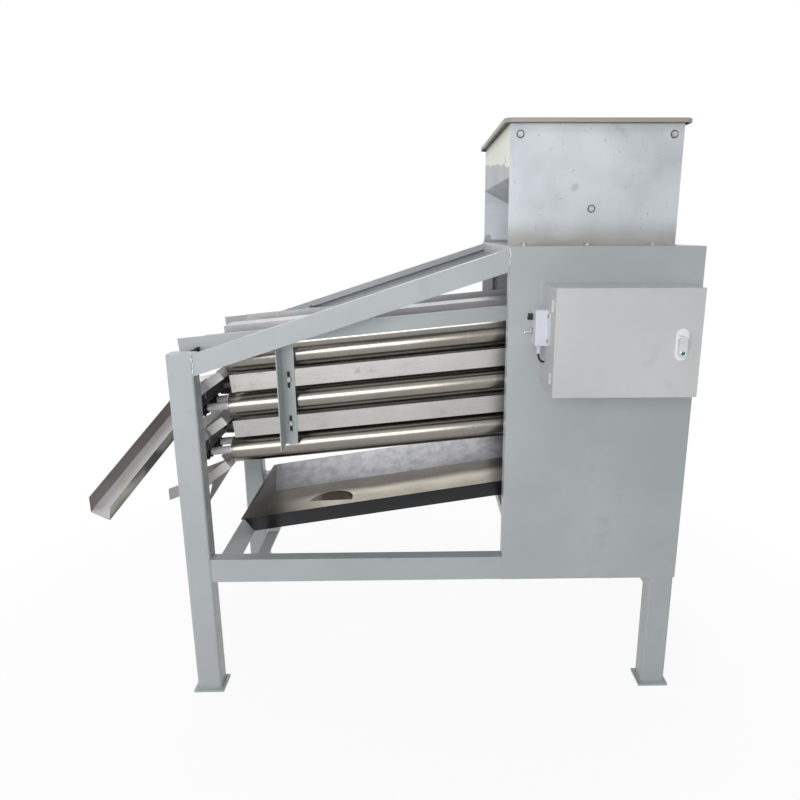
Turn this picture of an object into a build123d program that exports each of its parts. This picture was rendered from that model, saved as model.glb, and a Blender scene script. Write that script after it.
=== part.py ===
from build123d import *
from math import acos, atan2, cos, pi, radians, sin, sqrt, tan
import os

# Roller grading machine for cashew nuts: three inclined layers of turning rollers between
# a painted tube frame and a sheet housing that carries the feed hopper and the control box.
# Machine frame used below: x = 0 at the housing's open face, y = 0 at the near side of the
# frame, z = 0 at the floor, all in millimetres. The finished part is moved at the end so that
# its origin lies at the bottom centre of its bounding box.

# Floor frame
frame_depth = 781.0
left_leg_x = -1027.0
leg_width = 80.0
leg_depth = 60.0
leg_wall = 3.0
leg_corner = 8.0
left_leg_top = 1167.0
foot_margin = 10.0
foot_thickness = 8.0
rail_depth = 40.0
rail_wall = 3.0
lower_rail_height = 80.0
lower_rail_top = 490.0
sloped_rail_face = 63.0
sloped_rail_lip = 22.0
sloped_rail_drop = 5.0

# Housing
housing_length = 574.0
housing_top = 1482.0
housing_sheet = 2.0
front_band_height = 50.0
feed_slot_width = 100.0
feed_slot_inset = 140.0
beam_width = 40.0
beam_height = 80.0
gusset_side = 60.0
gusset_thickness = 4.0
gusset_offset = 40.0

# Hopper
hopper_length = 503.0
hopper_inset = 55.0
hopper_height = 354.0
hopper_wall_height = 156.0
hopper_slope = 28.0
hopper_sheet = 2.0
hopper_foot = 20.0
rim_overhang = 19.0
rim_corner = 18.0
rim_lip = 12.0

# Rollers
axis_slope = 5.41
top_axis_height = 1196.0
layer_pitch = 155.0
layer_count = 3
roller_diameter = 86.0
roller_wall = 4.0
roller_cap = 10.0
roller_pitch = 104.0
pair_pitch = 293.0
roller_end_gap = 49.0
roller_drive_gap = 40.0
shaft_diameter = 26.0
shaft_tail = 4.0
vent_diameter = 8.0
running_clearance = 0.05

# Bearings
bar_flange = 60.0
bar_leg = 40.0
bar_thickness = 6.0
block_width = 34.0
block_margin = 7.0
block_foot_length = 96.0
block_foot_height = 12.0
block_radius = 26.0
bar_over_axis = 27.0
upper_bearing_setback = 204.0

# Drive
gear_teeth = 26
gear_width = 20.0
gear_backlash = 0.4
gear_gap = 17.0
seat_clearance = 0.02
seat_diameter = 22.0
pressure_angle = radians(20.0)
sprocket_teeth = 14
sprocket_tip = 30.5
sprocket_tooth = 3.5
sprocket_width = 8.0
sprocket_hub_diameter = 36.0
chain_gap = 0.5
chain_thickness = 9.0
layer_chain_offset = 14.0
main_chain_offset = 17.0
motor_drop = 636.0
motor_diameter = 140.0
motor_length = 200.0
gearbox_length = 110.0
gearbox_half = 75.0
motor_foot_length = 100.0
motor_shaft_tail = 12.0
motor_plate = 6.0
motor_plate_length = 300.0

# Guards and skirts round the roller bank
guard_y = 134.0
guard_sheet = 2.0
guard_bottom = 50.0
guard_top = 96.0
guard_lip = 12.0
bank_overhang = 42.0
lining_top = 98.0
ridge_y = 340.0
ridge_bottom = 20.0
lower_ridge_inset = 18.0
ridge_tongue_bottom = 30.0
ridge_tongue_top = 48.0
skirt_bottom = 58.0
skirt_height = 57.0
skirt_inset = 28.0
strap_inset = 187.0
strap_width = 42.0
strap_thickness = 3.0
strap_flange = 71.0
strap_bottom = 839.0
strap_top = 1230.0
strap_tab = 40.0
slot_width = 10.0
slot_height = 56.0

# Discharge end
trough_sheet = 1.5
backboard_lean = 18.0
backboard_height = 30.0
trough_near_y = 146.0
trough_end_gap = 4.0
trough_under_roller = 8.0
trough_lip = 14.0
trough_flange = 20.0
trough_flange_gap = 5.0
cheek_height = 30.0
cheek_inset = (22.0, 14.0, 0.0)
spout_width = 100.0
spout_centre_y = 275.0
spout_reach = 13.0
spout_drop = 13.0
spout_step = 7.0
spout_wall = 26.0
chute_sheet = 1.5
chute_width = 108.0
chute_wall = 38.0
chute_splay = 13.0
chute_slope = 37.8
chute_heading = 55.5
chute_reach = 281.0
chute_end_y = 0.0
chute_fall = 348.0
chute_reach_y = 340.0
bottom_chute_y = 200.0
bottom_chute_width = 110.0
bottom_chute_wall = 42.0
bottom_chute_slope = 21.0
bottom_chute_reach = 114.0
bottom_chute_gap = 5.0
bottom_chute_step = 27.0
middle_chute_reach = 68.0
middle_chute_rise = 2.0
apron_y = 150.0
apron_foot_inset = 24.0
apron_foot_drop = 87.0

# Collecting tray under the rollers
tray_end_gap = 79.0
tray_end_lean = 25.0
tray_right_x = 122.0
tray_left_z = 570.0
tray_right_z = 717.0
tray_near_y = 134.0
tray_far_y = 646.0
tray_floor_near_y = 165.0
tray_floor_far_y = 511.0
tray_floor_drop = 63.0
tray_sheet = 2.0
tray_lip = 10.0
outlet_inset = 268.0
outlet_y = 330.0
outlet_diameter = 168.0
outlet_turn = -14.0
outlet_drop = 40.0
tray_drain_inset = 105.0
tray_drain_y = 448.0
tray_drain_diameter = 8.0
tray_angle_gap = 26.0
tray_angle_width = 68.0
tray_angle_leg = 40.0
tray_bar_gap = 144.0
tray_bar_width = 36.0
tray_support_sheet = 5.0
tray_pad_width = 40.0
tray_pad_y = (200.0, 460.0)
tray_rear_gap = 4.0
tray_rear_leg = 30.0
rest_clearance = 0.3

# Control box and its switches
box_left_x = 99.0
box_bottom_z = 1078.0
door_width = 400.0
door_height = 300.0
door_front_y = -193.0
door_lip = 18.0
box_sheet = 1.5
door_margin = 2.5
door_seal_gap = 6.0
hinge_radius = 5.0
hinge_pin_diameter = 5.0
hinge_length = 15.0
hinge_end_margin = 35.0
hinge_gap = 0.3
latch_x = 444.5
latch_centre_z = 1225.5
latch_width = 34.0
latch_height = 88.0
latch_plate = 3.0
handle_width = 22.0
handle_length = 58.0
handle_thickness = 8.0
handle_pivot_diameter = 5.0
handle_gap = 0.4
handle_lift = 2.0
lock_diameter = 13.0
lock_height = 2.0
switch_front_y = -89.0
switch_depth = 84.0
switch_height = 102.0
switch_bottom_z = 1205.0
switch_width = 36.0
switch_flange = 26.0
switch_flange_height = 90.0
switch_flange_sheet = 2.0
knob_diameter = 19.0
knob_length = 14.0
knob_gap = 0.4
knob_stem_diameter = 6.0
knob_stem_length = 10.0
knob_ribs = 12
knob_rib = 1.0
knob_y = -40.0
knob_rise = 78.0
lever_rise = 36.0
lever_diameter = 8.0
lever_neck_diameter = 4.0
lever_shank_diameter = 6.0
lever_throw = 12.0
lever_length = 26.0
lever_bush_diameter = 14.0
lever_bush_length = 6.0
lever_ball_diameter = 7.0
lever_socket_gap = 0.3
gland_diameter = 14.0
gland_length = 28.0
lead_diameter = 6.0
lead_drop = 26.0
lead_y = -55.0
lead_inset = 18.0
inverter_width = 118.0
inverter_height = 185.0
inverter_depth = 110.0

# Bolts
bolt_diameter = 8.0
bolt_head_width = 13.0
bolt_head_height = 5.5
bolt_washer_diameter = 17.0
bolt_washer_height = 1.5
hopper_bolt_inset = 29.0
hopper_bolt_top = 40.0
hopper_bolt_low_x = 245.0
hopper_bolt_low_z = 107.0
hopper_foot_bolts = (47.0, 236.0, 430.0)
strap_bolt_rise = (71.0, 219.0)
guard_bolt_inset = 25.0

# Derived places
mid_y = frame_depth / 2
slope_sin = sin(radians(axis_slope))
slope_cos = cos(radians(axis_slope))
left_leg_right = left_leg_x + leg_width
panel_top = housing_top - housing_sheet
right_leg_x = housing_length - housing_sheet - leg_width
lower_rail_bottom = lower_rail_top - lower_rail_height
roller_radius = roller_diameter / 2
shaft_radius = shaft_diameter / 2
roller_left_x = left_leg_right + roller_end_gap
upper_block_x = housing_length - upper_bearing_setback
roller_right_x = upper_block_x - roller_drive_gap
strap_left_x = roller_left_x + strap_inset
tray_left_x = left_leg_right + tray_end_gap
lower_block_x = left_leg_x + block_margin
lower_bar_right = left_leg_x + bar_flange
upper_bar_left = upper_block_x - block_width / 2 - bar_thickness - seat_diameter / 2
gear_start = (upper_bar_left + bar_flange + gear_gap) / slope_cos
layer_chain_start = gear_start + gear_width + layer_chain_offset
main_chain_start = layer_chain_start + sprocket_width + main_chain_offset
motor_steps = motor_drop / layer_pitch
reach = 4000.0


def block(x0, x1, y0, y1, z0, z1):
    """Box between two corners."""
    middle = ((x0 + x1) / 2, (y0 + y1) / 2, (z0 + z1) / 2)
    return Pos(*middle) * Box(x1 - x0, y1 - y0, z1 - z0)


def prism(points, y0, y1):
    """Outline in x and z, drawn out from y0 to y1."""
    face = make_face(Polyline(*points, close=True))
    return Pos(0, y1, 0) * extrude(Plane.XZ * face, y1 - y0)


def rod(radius, x0, x1):
    """Round bar along x."""
    return Pos((x0 + x1) / 2, 0, 0) * Rot(0, 90, 0) * Cylinder(radius, x1 - x0)


def disc(outline, x0, x1):
    """Outline in y and z, drawn out from x0 to x1."""
    return Pos(x0, 0, 0) * extrude(Plane.YZ * outline, x1 - x0)


def across(solid):
    """The same piece on the far side of the machine."""
    return mirror(solid, about=Plane((0, mid_y, 0), z_dir=(0, 1, 0)))


def axis_height(layer, x):
    """Height of a layer's roller axes at x."""
    return top_axis_height - layer * layer_pitch + x * slope_sin / slope_cos


def layer_frame(layer):
    """Place whose x axis runs along the roller axes of a layer."""
    return Pos(0, 0, top_axis_height - layer * layer_pitch) * Rot(0, -axis_slope, 0)


def roller_y(index):
    """Depth of a roller axis: two pairs, evenly set about the middle."""
    pair, side = divmod(index, 2)
    return mid_y + (pair - 0.5) * pair_pitch + (side - 0.5) * roller_pitch


def one(shape):
    """The single solid of a result."""
    return shape.solids()[0]


# Frame

def leg(x, y, top, capped):
    """Rectangular tube leg standing on its foot plate."""
    centre = Pos(x + leg_width / 2, y + leg_depth / 2, foot_thickness)
    outer = RectangleRounded(leg_width, leg_depth, leg_corner)
    inner = RectangleRounded(leg_width - 2 * leg_wall, leg_depth - 2 * leg_wall, leg_corner - leg_wall)
    height = top - foot_thickness
    bore = height - leg_wall if capped else height
    return centre * (extrude(outer, height) - extrude(inner, bore))


def foot_plate(x, y):
    """Plate welded under a leg."""
    return block(x - foot_margin, x + leg_width + foot_margin, y - foot_margin,
                 y + leg_depth + foot_margin, 0, foot_thickness)


def tube_along_x(x0, x1, y0, z0, height):
    """Rectangular tube rail."""
    outer = block(x0, x1, y0, y0 + rail_depth, z0, z0 + height)
    inner = block(x0, x1, y0 + rail_wall, y0 + rail_depth - rail_wall,
                  z0 + rail_wall, z0 + height - rail_wall)
    return outer - inner


def sloped_prism(y0, y1, inset):
    """Bar of the sloped rail's outline, its long edges set in by inset."""
    low_top = left_leg_top
    high_top = panel_top - sloped_rail_drop
    angle = atan2(high_top - low_top, -left_leg_right)
    upright = sloped_rail_face / cos(angle)
    cut = inset / cos(angle)
    points = [(left_leg_right, low_top - cut), (0, high_top - cut),
              (0, high_top - upright + cut), (left_leg_right, low_top - upright + cut)]
    return prism(points, y0, y1)


def sloped_rail():
    """Lipped channel from the left leg up to the housing post, open towards the middle."""
    channel = sloped_prism(0, rail_depth, 0)
    channel -= sloped_prism(rail_wall, rail_depth - rail_wall, rail_wall)
    channel -= sloped_prism(rail_depth - rail_wall, rail_depth, sloped_rail_lip)
    return one(channel)


def housing_post():
    """Square tube post at the housing's open face."""
    outer = block(0, rail_depth, 0, rail_depth, lower_rail_top, panel_top)
    inner = block(rail_wall, rail_depth - rail_wall, rail_wall, rail_depth - rail_wall,
                  lower_rail_top, panel_top)
    return outer - inner


def cross_beam():
    """Tube between the right legs, level with the housing's lower edge."""
    x0 = right_leg_x + (leg_width - beam_width) / 2
    y0, y1 = leg_depth, frame_depth - leg_depth
    outer = block(x0, x0 + beam_width, y0, y1, lower_rail_bottom - beam_height, lower_rail_bottom)
    inner = block(x0 + rail_wall, x0 + beam_width - rail_wall, y0, y1,
                  lower_rail_bottom - beam_height + rail_wall, lower_rail_bottom - rail_wall)
    return outer - inner


def beam_gusset():
    """Triangular plate welded to the side of the cross beam."""
    x1 = right_leg_x + (leg_width - beam_width) / 2
    top = lower_rail_bottom
    points = [(x1 - gusset_side, top), (x1, top), (x1, top - gusset_side)]
    y0 = leg_depth + gusset_offset
    return prism(points, y0, y0 + gusset_thickness)


# Housing and hopper

def near_panel():
    """Side sheet over the frame, from the open face to the far end."""
    return block(0, housing_length, -housing_sheet, 0, lower_rail_bottom, panel_top)


def end_panel():
    """Sheet closing the housing behind the right legs."""
    x1 = housing_length
    return block(x1 - housing_sheet, x1, 0, frame_depth, lower_rail_bottom, panel_top)


def feed_slot_x():
    """Sides of the opening under the hopper."""
    centre = hopper_length / 2
    return centre - feed_slot_width / 2, centre + feed_slot_width / 2


def top_plate():
    """Cover sheet with the slot that the nuts fall through."""
    plate = block(0, housing_length, -housing_sheet, frame_depth + housing_sheet, panel_top, housing_top)
    x0, x1 = feed_slot_x()
    plate -= block(x0, x1, feed_slot_inset, frame_depth - feed_slot_inset, panel_top, housing_top)
    for hole in foot_bolt_holes():
        plate = plate - hole - across(hole)
    return plate


def front_band():
    """Strip across the top of the open face, between the posts."""
    low = panel_top - front_band_height
    return block(0, housing_sheet, rail_depth, frame_depth - rail_depth, low, panel_top)


def hopper_top():
    """Height of the hopper plates' upper edge."""
    return housing_top + hopper_height


def bolt(stud):
    """Hexagon bolt along +z: head below the origin, washer above it, stud into the plate."""
    head = extrude(RegularPolygon(bolt_head_width / 2, 6, major_radius=False), bolt_head_height)
    washer = Pos(0, 0, bolt_head_height) * extrude(Circle(bolt_washer_diameter / 2), bolt_washer_height)
    shank = Pos(0, 0, bolt_head_height + bolt_washer_height) * extrude(Circle(bolt_diameter / 2), stud)
    return Pos(0, 0, -bolt_head_height - bolt_washer_height) * (head + washer + shank)


def bolt_hole(length):
    """Clear hole for a bolt's stud along +z."""
    return extrude(Circle(bolt_diameter / 2 + running_clearance), length)


def facing_far(x, y, z):
    """Place of a bolt that points away from the near side."""
    return Pos(x, y, z) * Rot(-90, 0, 0)


def hopper_bolt_places():
    """Bolts through the hopper's near plate."""
    high = hopper_top() - hopper_bolt_top
    return [(hopper_bolt_inset, high), (hopper_length - hopper_bolt_inset, high),
            (hopper_bolt_low_x, housing_top + hopper_bolt_low_z)]


def foot_bolt_places():
    """Bolts that hold the foot of the hopper's near plate down."""
    return [(x, hopper_inset - hopper_foot / 2) for x in hopper_foot_bolts]


def foot_bolt_holes():
    """Clear holes through the hopper's foot and the housing's cover sheet."""
    return [Pos(x, y, panel_top) * bolt_hole(housing_sheet + hopper_sheet) for x, y in foot_bolt_places()]


def hopper_near_plate():
    """Flat side of the hopper with a foot folded outwards over the housing."""
    y0, y1 = hopper_inset, hopper_inset + hopper_sheet
    plate = block(0, hopper_length, y0, y1, housing_top, hopper_top())
    plate += block(0, hopper_length, y0 - hopper_foot, y0, housing_top, housing_top + hopper_sheet)
    for x, z in hopper_bolt_places():
        plate -= facing_far(x, y0, z) * bolt_hole(hopper_sheet)
    for hole in foot_bolt_holes():
        plate -= hole
    return plate


def hopper_slope_outline():
    """Wall, slope and throat of the hopper's left side, as one bent sheet."""
    t = hopper_sheet
    lean = tan(radians(hopper_slope))
    bend = hopper_top() - hopper_wall_height
    throat, _ = feed_slot_x()
    fall = throat * lean
    return [(0, hopper_top()), (t, hopper_top()), (t, bend), (throat, bend - fall + t * lean),
            (throat, housing_top), (throat - t, housing_top),
            (throat - t, bend - fall - t / 2), (0, bend - t)]


def hopper_left_slope():
    """Bent sheet between the hopper's two side plates."""
    y0 = hopper_inset + hopper_sheet
    return prism(hopper_slope_outline(), y0, frame_depth - y0)


def hopper_right_slope():
    """The same sheet on the other side of the throat."""
    return mirror(hopper_left_slope(), about=Plane((hopper_length / 2, 0, 0), z_dir=(1, 0, 0)))


def rim_outline(inset):
    """Rectangle with cut corners over the hopper plates, set in by inset."""
    length = hopper_length + 2 * (rim_overhang - inset)
    depth = frame_depth - 2 * (hopper_inset - rim_overhang + inset)
    return Pos(hopper_length / 2, mid_y, 0) * chamfer(Rectangle(length, depth).vertices(), rim_corner)


def hopper_rim():
    """Folded edge that lies on the hopper plates and hangs over them."""
    base = hopper_top()
    t = hopper_sheet
    rim = Pos(0, 0, base + t - rim_lip) * extrude(rim_outline(0), rim_lip)
    rim -= Pos(0, 0, base + t - rim_lip) * extrude(rim_outline(t), rim_lip - t)
    inner = hopper_inset + t
    return rim - block(t, hopper_length - t, inner, frame_depth - inner, base, base + t)


# Rollers and drive

def gear_outline(phase):
    """Spur gear with straight-sided stretches along its involute flanks."""
    module = roller_pitch / gear_teeth
    pitch = roller_pitch / 2
    base = pitch * cos(pressure_angle)
    tip = pitch + module
    root = pitch - 1.25 * module
    half_pitch = (pi * module / 2 - gear_backlash) / (2 * pitch)
    step = 2 * pi / gear_teeth

    def half_angle(radius):
        slant = acos(base / radius)
        return half_pitch + tan(pressure_angle) - pressure_angle - tan(slant) + slant

    flank = [(root, half_angle(base)), (base, half_angle(base)),
             (pitch, half_pitch), (tip, half_angle(tip))]
    points = []
    for tooth in range(gear_teeth):
        centre = (tooth + phase) * step
        points += [(r * cos(centre - a), r * sin(centre - a)) for r, a in flank]
        points += [(r * cos(centre + a), r * sin(centre + a)) for r, a in reversed(flank)]
    return make_face(Polyline(*points, close=True))


def sprocket_outline():
    """Toothed wheel that fits inside the chain loop."""
    step = 2 * pi / sprocket_teeth
    root = sprocket_tip - sprocket_tooth
    profile = [(root, -0.35), (sprocket_tip, -0.15), (sprocket_tip, 0.15), (root, 0.35)]
    points = []
    for tooth in range(sprocket_teeth):
        points += [(r * cos((tooth + a) * step), r * sin((tooth + a) * step)) for r, a in profile]
    return make_face(Polyline(*points, close=True))


def seat_bore(x0, x1):
    """Hole that lets a wheel slide onto a shaft seat."""
    return rod(seat_diameter / 2 + seat_clearance, x0, x1)


def main_chain_place(steps):
    """Start of the main chain's plane along an axis that lies some layers down."""
    return main_chain_start + steps * layer_pitch * slope_sin


def roller_shaft_end(layer, index):
    """How far a roller's drive end reaches along its axis."""
    if index == 0:
        return main_chain_place(layer) + sprocket_width
    if index == 2:
        return layer_chain_start + sprocket_width
    return gear_start + gear_width


def roller_tube():
    """Tube with bored end caps and a vent."""
    left, right = roller_left_x / slope_cos, roller_right_x / slope_cos
    tube = rod(roller_radius, left, right)
    tube -= rod(roller_radius - roller_wall, left + roller_cap, right - roller_cap)
    tube -= rod(shaft_radius + running_clearance, left, right)
    vent_y = (shaft_radius + roller_radius) / 2
    vent = Pos(0, vent_y, 0) * rod(vent_diameter / 2, right - 2 * roller_cap, right + roller_cap)
    return one(tube - vent)


def roller_journal():
    """Journal seated in the lower cap."""
    return rod(shaft_radius, (lower_block_x - shaft_tail) / slope_cos, roller_left_x / slope_cos + roller_cap)


def roller_drive_shaft(end):
    """Stepped shaft seated in the upper cap."""
    shaft = rod(shaft_radius, roller_right_x / slope_cos - roller_cap, gear_start)
    return one(shaft + rod(seat_diameter / 2, gear_start - roller_cap, end))


def roller_gear(index):
    """Gear that turns the other roller of the pair the opposite way."""
    phase = 0.5 * (index % 2)
    wheel = disc(gear_outline(phase), gear_start, gear_start + gear_width)
    return wheel - seat_bore(gear_start, gear_start + gear_width)


def sprocket(hub_start, start):
    """Chain wheel with a hub that reaches back to the wheel before it."""
    end = start + sprocket_width
    wheel = disc(sprocket_outline(), start, end) + rod(sprocket_hub_diameter / 2, hub_start, end)
    return wheel - seat_bore(hub_start, end)


def roller(layer, index):
    """One roller with the wheels keyed to its drive end."""
    shaft = roller_drive_shaft(roller_shaft_end(layer, index))
    pieces = [roller_tube(), roller_journal(), shaft, roller_gear(index)]
    if index in (0, 2):
        pieces.append(sprocket(gear_start + gear_width, layer_chain_start))
    if index == 0:
        pieces.append(sprocket(layer_chain_start + sprocket_width, main_chain_place(layer)))
    place = layer_frame(layer) * Pos(0, roller_y(index), 0)
    return [place * piece for piece in pieces]


def chain_loop(length, start):
    """Chain round two equal sprockets, one pitch line above the other."""
    inner = sprocket_tip + chain_gap
    outer = inner + chain_thickness
    band = SlotCenterToCenter(length, 2 * outer) - SlotCenterToCenter(length, 2 * inner)
    return disc(band, start, start + sprocket_width)


def drive_chains():
    """A chain in each layer between the pairs, and the main chain down to the motor."""
    loops = []
    for layer in range(layer_count):
        place = layer_frame(layer) * Pos(0, (roller_y(0) + roller_y(2)) / 2, 0)
        loops.append(place * chain_loop(pair_pitch, layer_chain_start))
    span = motor_drop * slope_cos
    upright = Pos(0, roller_y(0), -span / 2) * Rot(90, 0, 0)
    loops.append(layer_frame(0) * upright * chain_loop(span, main_chain_start))
    return loops


def gearbox_end():
    """Front face of the gearbox along the motor's axis."""
    return main_chain_place(motor_steps) - motor_shaft_tail


def gear_motor():
    """Motor, gearbox and foot standing on the motor plate."""
    end = gearbox_end()
    start = end - gearbox_length
    body = block(start, end, -gearbox_half, gearbox_half, -gearbox_half, gearbox_half)
    body += rod(motor_diameter / 2, start - motor_length, start)
    body = layer_frame(motor_steps) * Pos(0, roller_y(0), 0) * body
    base = lower_rail_top + motor_plate
    centre_x = (start + end) / 2 * slope_cos
    y0, y1 = roller_y(0) - gearbox_half, roller_y(0) + gearbox_half
    foot = block(centre_x - motor_foot_length / 2, centre_x + motor_foot_length / 2, y0, y1,
                 base, axis_height(motor_steps, centre_x))
    bore = rod(seat_diameter / 2 + running_clearance, end - gearbox_length / 2, end)
    return one(body + foot - layer_frame(motor_steps) * Pos(0, roller_y(0), 0) * bore)


def motor_plate_solid():
    """Plate across the two lower rails that carries the motor."""
    x1 = right_leg_x - foot_margin
    return block(x1 - motor_plate_length, x1, 0, frame_depth, lower_rail_top, lower_rail_top + motor_plate)


def drive_sprocket():
    """Output shaft of the gearbox with its chain wheel."""
    start = main_chain_place(motor_steps)
    wheel = disc(sprocket_outline(), start, start + sprocket_width)
    shaft_start = gearbox_end() - gearbox_length / 2 + motor_shaft_tail
    wheel += rod(seat_diameter / 2, shaft_start, start + motor_shaft_tail)
    return layer_frame(motor_steps) * Pos(0, roller_y(0), 0) * wheel


# Bearings

def lower_bar_bottom(layer):
    """Underside of the bar that the lower bearings hang from."""
    return axis_height(layer, lower_block_x + block_width / 2) + bar_over_axis


def upper_bar_bottom(layer):
    """Underside of the bar inside the housing."""
    return axis_height(layer, upper_block_x) + bar_over_axis


def lower_bar(layer):
    """Angle bar between the left legs, its upright leg towards the rollers."""
    z0 = lower_bar_bottom(layer)
    y0, y1 = leg_depth, frame_depth - leg_depth
    flat = block(left_leg_x, lower_bar_right, y0, y1, z0, z0 + bar_thickness)
    return flat + block(lower_bar_right - bar_thickness, lower_bar_right, y0, y1, z0, z0 + bar_leg)


def upper_bar(layer):
    """Angle bar across the housing, its upright leg towards the rollers."""
    z0 = upper_bar_bottom(layer)
    flat = block(upper_bar_left, upper_bar_left + bar_flange, 0, frame_depth, z0, z0 + bar_thickness)
    return flat + block(upper_bar_left, upper_bar_left + bar_thickness, 0, frame_depth, z0, z0 + bar_leg)


def bearing_block(layer, index, x, top):
    """Bearing housing hung under a bar, bored along the sloping shaft."""
    y = roller_y(index)
    axis_z = axis_height(layer, x)
    x0, x1 = x - block_width / 2, x + block_width / 2
    half = block_foot_length / 2
    shape = block(x0, x1, y - half, y + half, top - block_foot_height, top)
    shape += block(x0, x1, y - block_radius, y + block_radius, axis_z, top - block_foot_height)
    shape += Pos(0, y, axis_z) * rod(block_radius, x0, x1)
    bore = rod(shaft_radius + running_clearance, -reach / 2, reach / 2)
    return one(shape - layer_frame(layer) * Pos(0, y, 0) * bore)


def lower_block(layer, index):
    """Bearing at the discharge end."""
    return bearing_block(layer, index, lower_block_x + block_width / 2, lower_bar_bottom(layer))


def upper_block(layer, index):
    """Bearing at the drive end."""
    return bearing_block(layer, index, upper_block_x, upper_bar_bottom(layer))


# Guards

def bank_plate(layer, left_x, y0, y1, w0, w1):
    """Plate that follows the slope of a layer and stops at the bar in the housing."""
    plate = layer_frame(layer) * block(left_x / slope_cos, reach / 4, y0, y1, w0, w1)
    return plate - block(upper_bar_left, reach, -reach, reach, -reach, reach)


def side_guard():
    """Near guard above the top rollers, with a lip folded in, notched over the top bar."""
    guard = bank_plate(0, left_leg_x, guard_y, guard_y + guard_sheet, guard_bottom, guard_top)
    guard += bank_plate(0, left_leg_x, guard_y, guard_y + guard_sheet + guard_lip, guard_bottom,
                        guard_bottom + guard_sheet)
    z1 = lower_bar_bottom(0) + bar_leg
    guard -= block(lower_bar_right - bar_thickness, lower_bar_right, 0, frame_depth, 0, z1)
    x, z = guard_bolt_place()
    return one(guard - facing_far(x, guard_y, z) * bolt_hole(guard_sheet))


def guard_lining():
    """Bright sheet inside a side guard, standing on its lip."""
    y0 = guard_y + guard_sheet
    left = roller_left_x - bank_overhang
    return bank_plate(0, left, y0, y0 + guard_sheet, guard_bottom + guard_sheet, lining_top)


def centre_ridge(layer):
    """Folded ridge that keeps the nuts over the two pairs, held by tongues at both bars."""
    left = roller_left_x + (lower_ridge_inset if layer else -bank_overhang)
    far = frame_depth - ridge_y
    hat = bank_plate(layer, left, ridge_y, far, ridge_bottom, guard_top)
    t = guard_sheet
    hat -= bank_plate(layer, left, ridge_y + t, far - t, ridge_bottom, guard_top - t)
    for y in (ridge_y, far - guard_sheet):
        tongue = bank_plate(layer, left_leg_x, y, y + guard_sheet, ridge_tongue_bottom, ridge_tongue_top)
        hat += tongue - block(-reach, lower_bar_right, -reach, reach, -reach, reach)
    return one(hat)


def skirt_plate(layer):
    """Plate that closes the side between a layer and the one above it."""
    left = roller_left_x + skirt_inset
    top = skirt_bottom + skirt_height
    plate = bank_plate(layer, left, guard_y, guard_y + guard_sheet, skirt_bottom, top)
    for x, z in strap_bolt_places():
        plate -= facing_far(x, guard_y, z) * bolt_hole(guard_sheet)
    return one(plate)


def strap_bolt_places():
    """Bolts through the strap's slots into the skirts."""
    x = strap_left_x + (strap_width + strap_thickness) / 2
    return [(x, strap_bottom + rise) for rise in strap_bolt_rise]


def guard_bolt_place():
    """Bolt through the strap's upper end into the side guard."""
    x = strap_left_x + strap_width - guard_bolt_inset / 2
    return x, axis_height(0, x) + (guard_bottom + guard_top) / 2


def strap_slot(x, z):
    """Upright slot in the strap for an adjustable bolt."""
    outline = Rot(0, 0, 90) * SlotOverall(slot_height, slot_width)
    return facing_far(x, guard_y - strap_thickness, z) * extrude(outline, strap_thickness)


def guard_strap():
    """Bent strap from the sloped rail that holds the guard and the skirts."""
    y0 = guard_y - strap_thickness
    edge = strap_left_x + strap_thickness
    strap = block(strap_left_x, strap_left_x + strap_width, y0, guard_y, strap_bottom, strap_top)
    strap += block(strap_left_x, edge, y0 - strap_flange, y0, strap_bottom, strap_top)
    strap += block(strap_left_x, edge, rail_depth, y0, strap_top - strap_tab, strap_top)
    for x, z in strap_bolt_places():
        strap -= strap_slot(x, z)
    x, z = guard_bolt_place()
    return one(strap - facing_far(x, y0, z) * bolt_hole(strap_thickness))


# Discharge end

def trough_base(layer):
    """Height of a trough's floor: the top of the bar of the layer below."""
    return lower_bar_bottom(layer + 1) + bar_leg


def trough_floor(layer):
    """Both ends of a trough's sloping floor: on the bar, and just under the roller ends."""
    x1 = roller_left_x - trough_end_gap
    z1 = axis_height(layer, x1) - roller_radius - trough_under_roller
    return lower_bar_right, trough_base(layer), x1, z1


def standing_on_floor(layer, left, right, height):
    """Outline that stands square on a trough's floor between two distances from its upper end."""
    x0, z0, x1, z1 = trough_floor(layer)
    angle = atan2(z1 - z0, x1 - x0)
    low = (x1 - left * cos(angle), z1 - left * sin(angle))
    high = (x1 - right * cos(angle), z1 - right * sin(angle))
    rise = (-height * sin(angle), height * cos(angle))
    return [low, high, (high[0] + rise[0], high[1] + rise[1]), (low[0] + rise[0], low[1] + rise[1])]


def trough_sheets(layer, outlet):
    """Sheets of a cross trough: floor, backboards beside the outlet, upper lip and end cheeks."""
    x0, z0, x1, z1 = trough_floor(layer)
    t = trough_sheet
    top = z0 + backboard_height
    back = [(x0 - backboard_lean, top), (x0, z0), (x0 + t, z0), (x0 + t - backboard_lean, top)]
    y0, y1 = trough_near_y, frame_depth - trough_near_y
    floor = prism([(x0, z0), (x1, z1), (x1, z1 + t), (x0, z0 + t)], y0, y1)
    lip = one(prism(standing_on_floor(layer, t, 0, trough_lip), y0, y1) - floor)
    sheets = [floor, lip]
    under = z0 - trough_flange
    filled = prism([(x0, under), (x1, under), (x1, z1 + t), (x0, z0 + t)], y0, y1)
    for a, b in ((leg_depth, outlet[0]), (outlet[1], frame_depth - leg_depth)):
        sheets.append(one(prism(back, a, b) - filled))
    length = ((x1 - x0) ** 2 + (z1 - z0) ** 2) ** 0.5
    cheek = standing_on_floor(layer, length - cheek_inset[layer], 0, cheek_height)
    for a in (y0, y1 - t):
        sheets.append(one(prism(cheek, a, a + t) - floor - lip))
    return sheets


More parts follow.
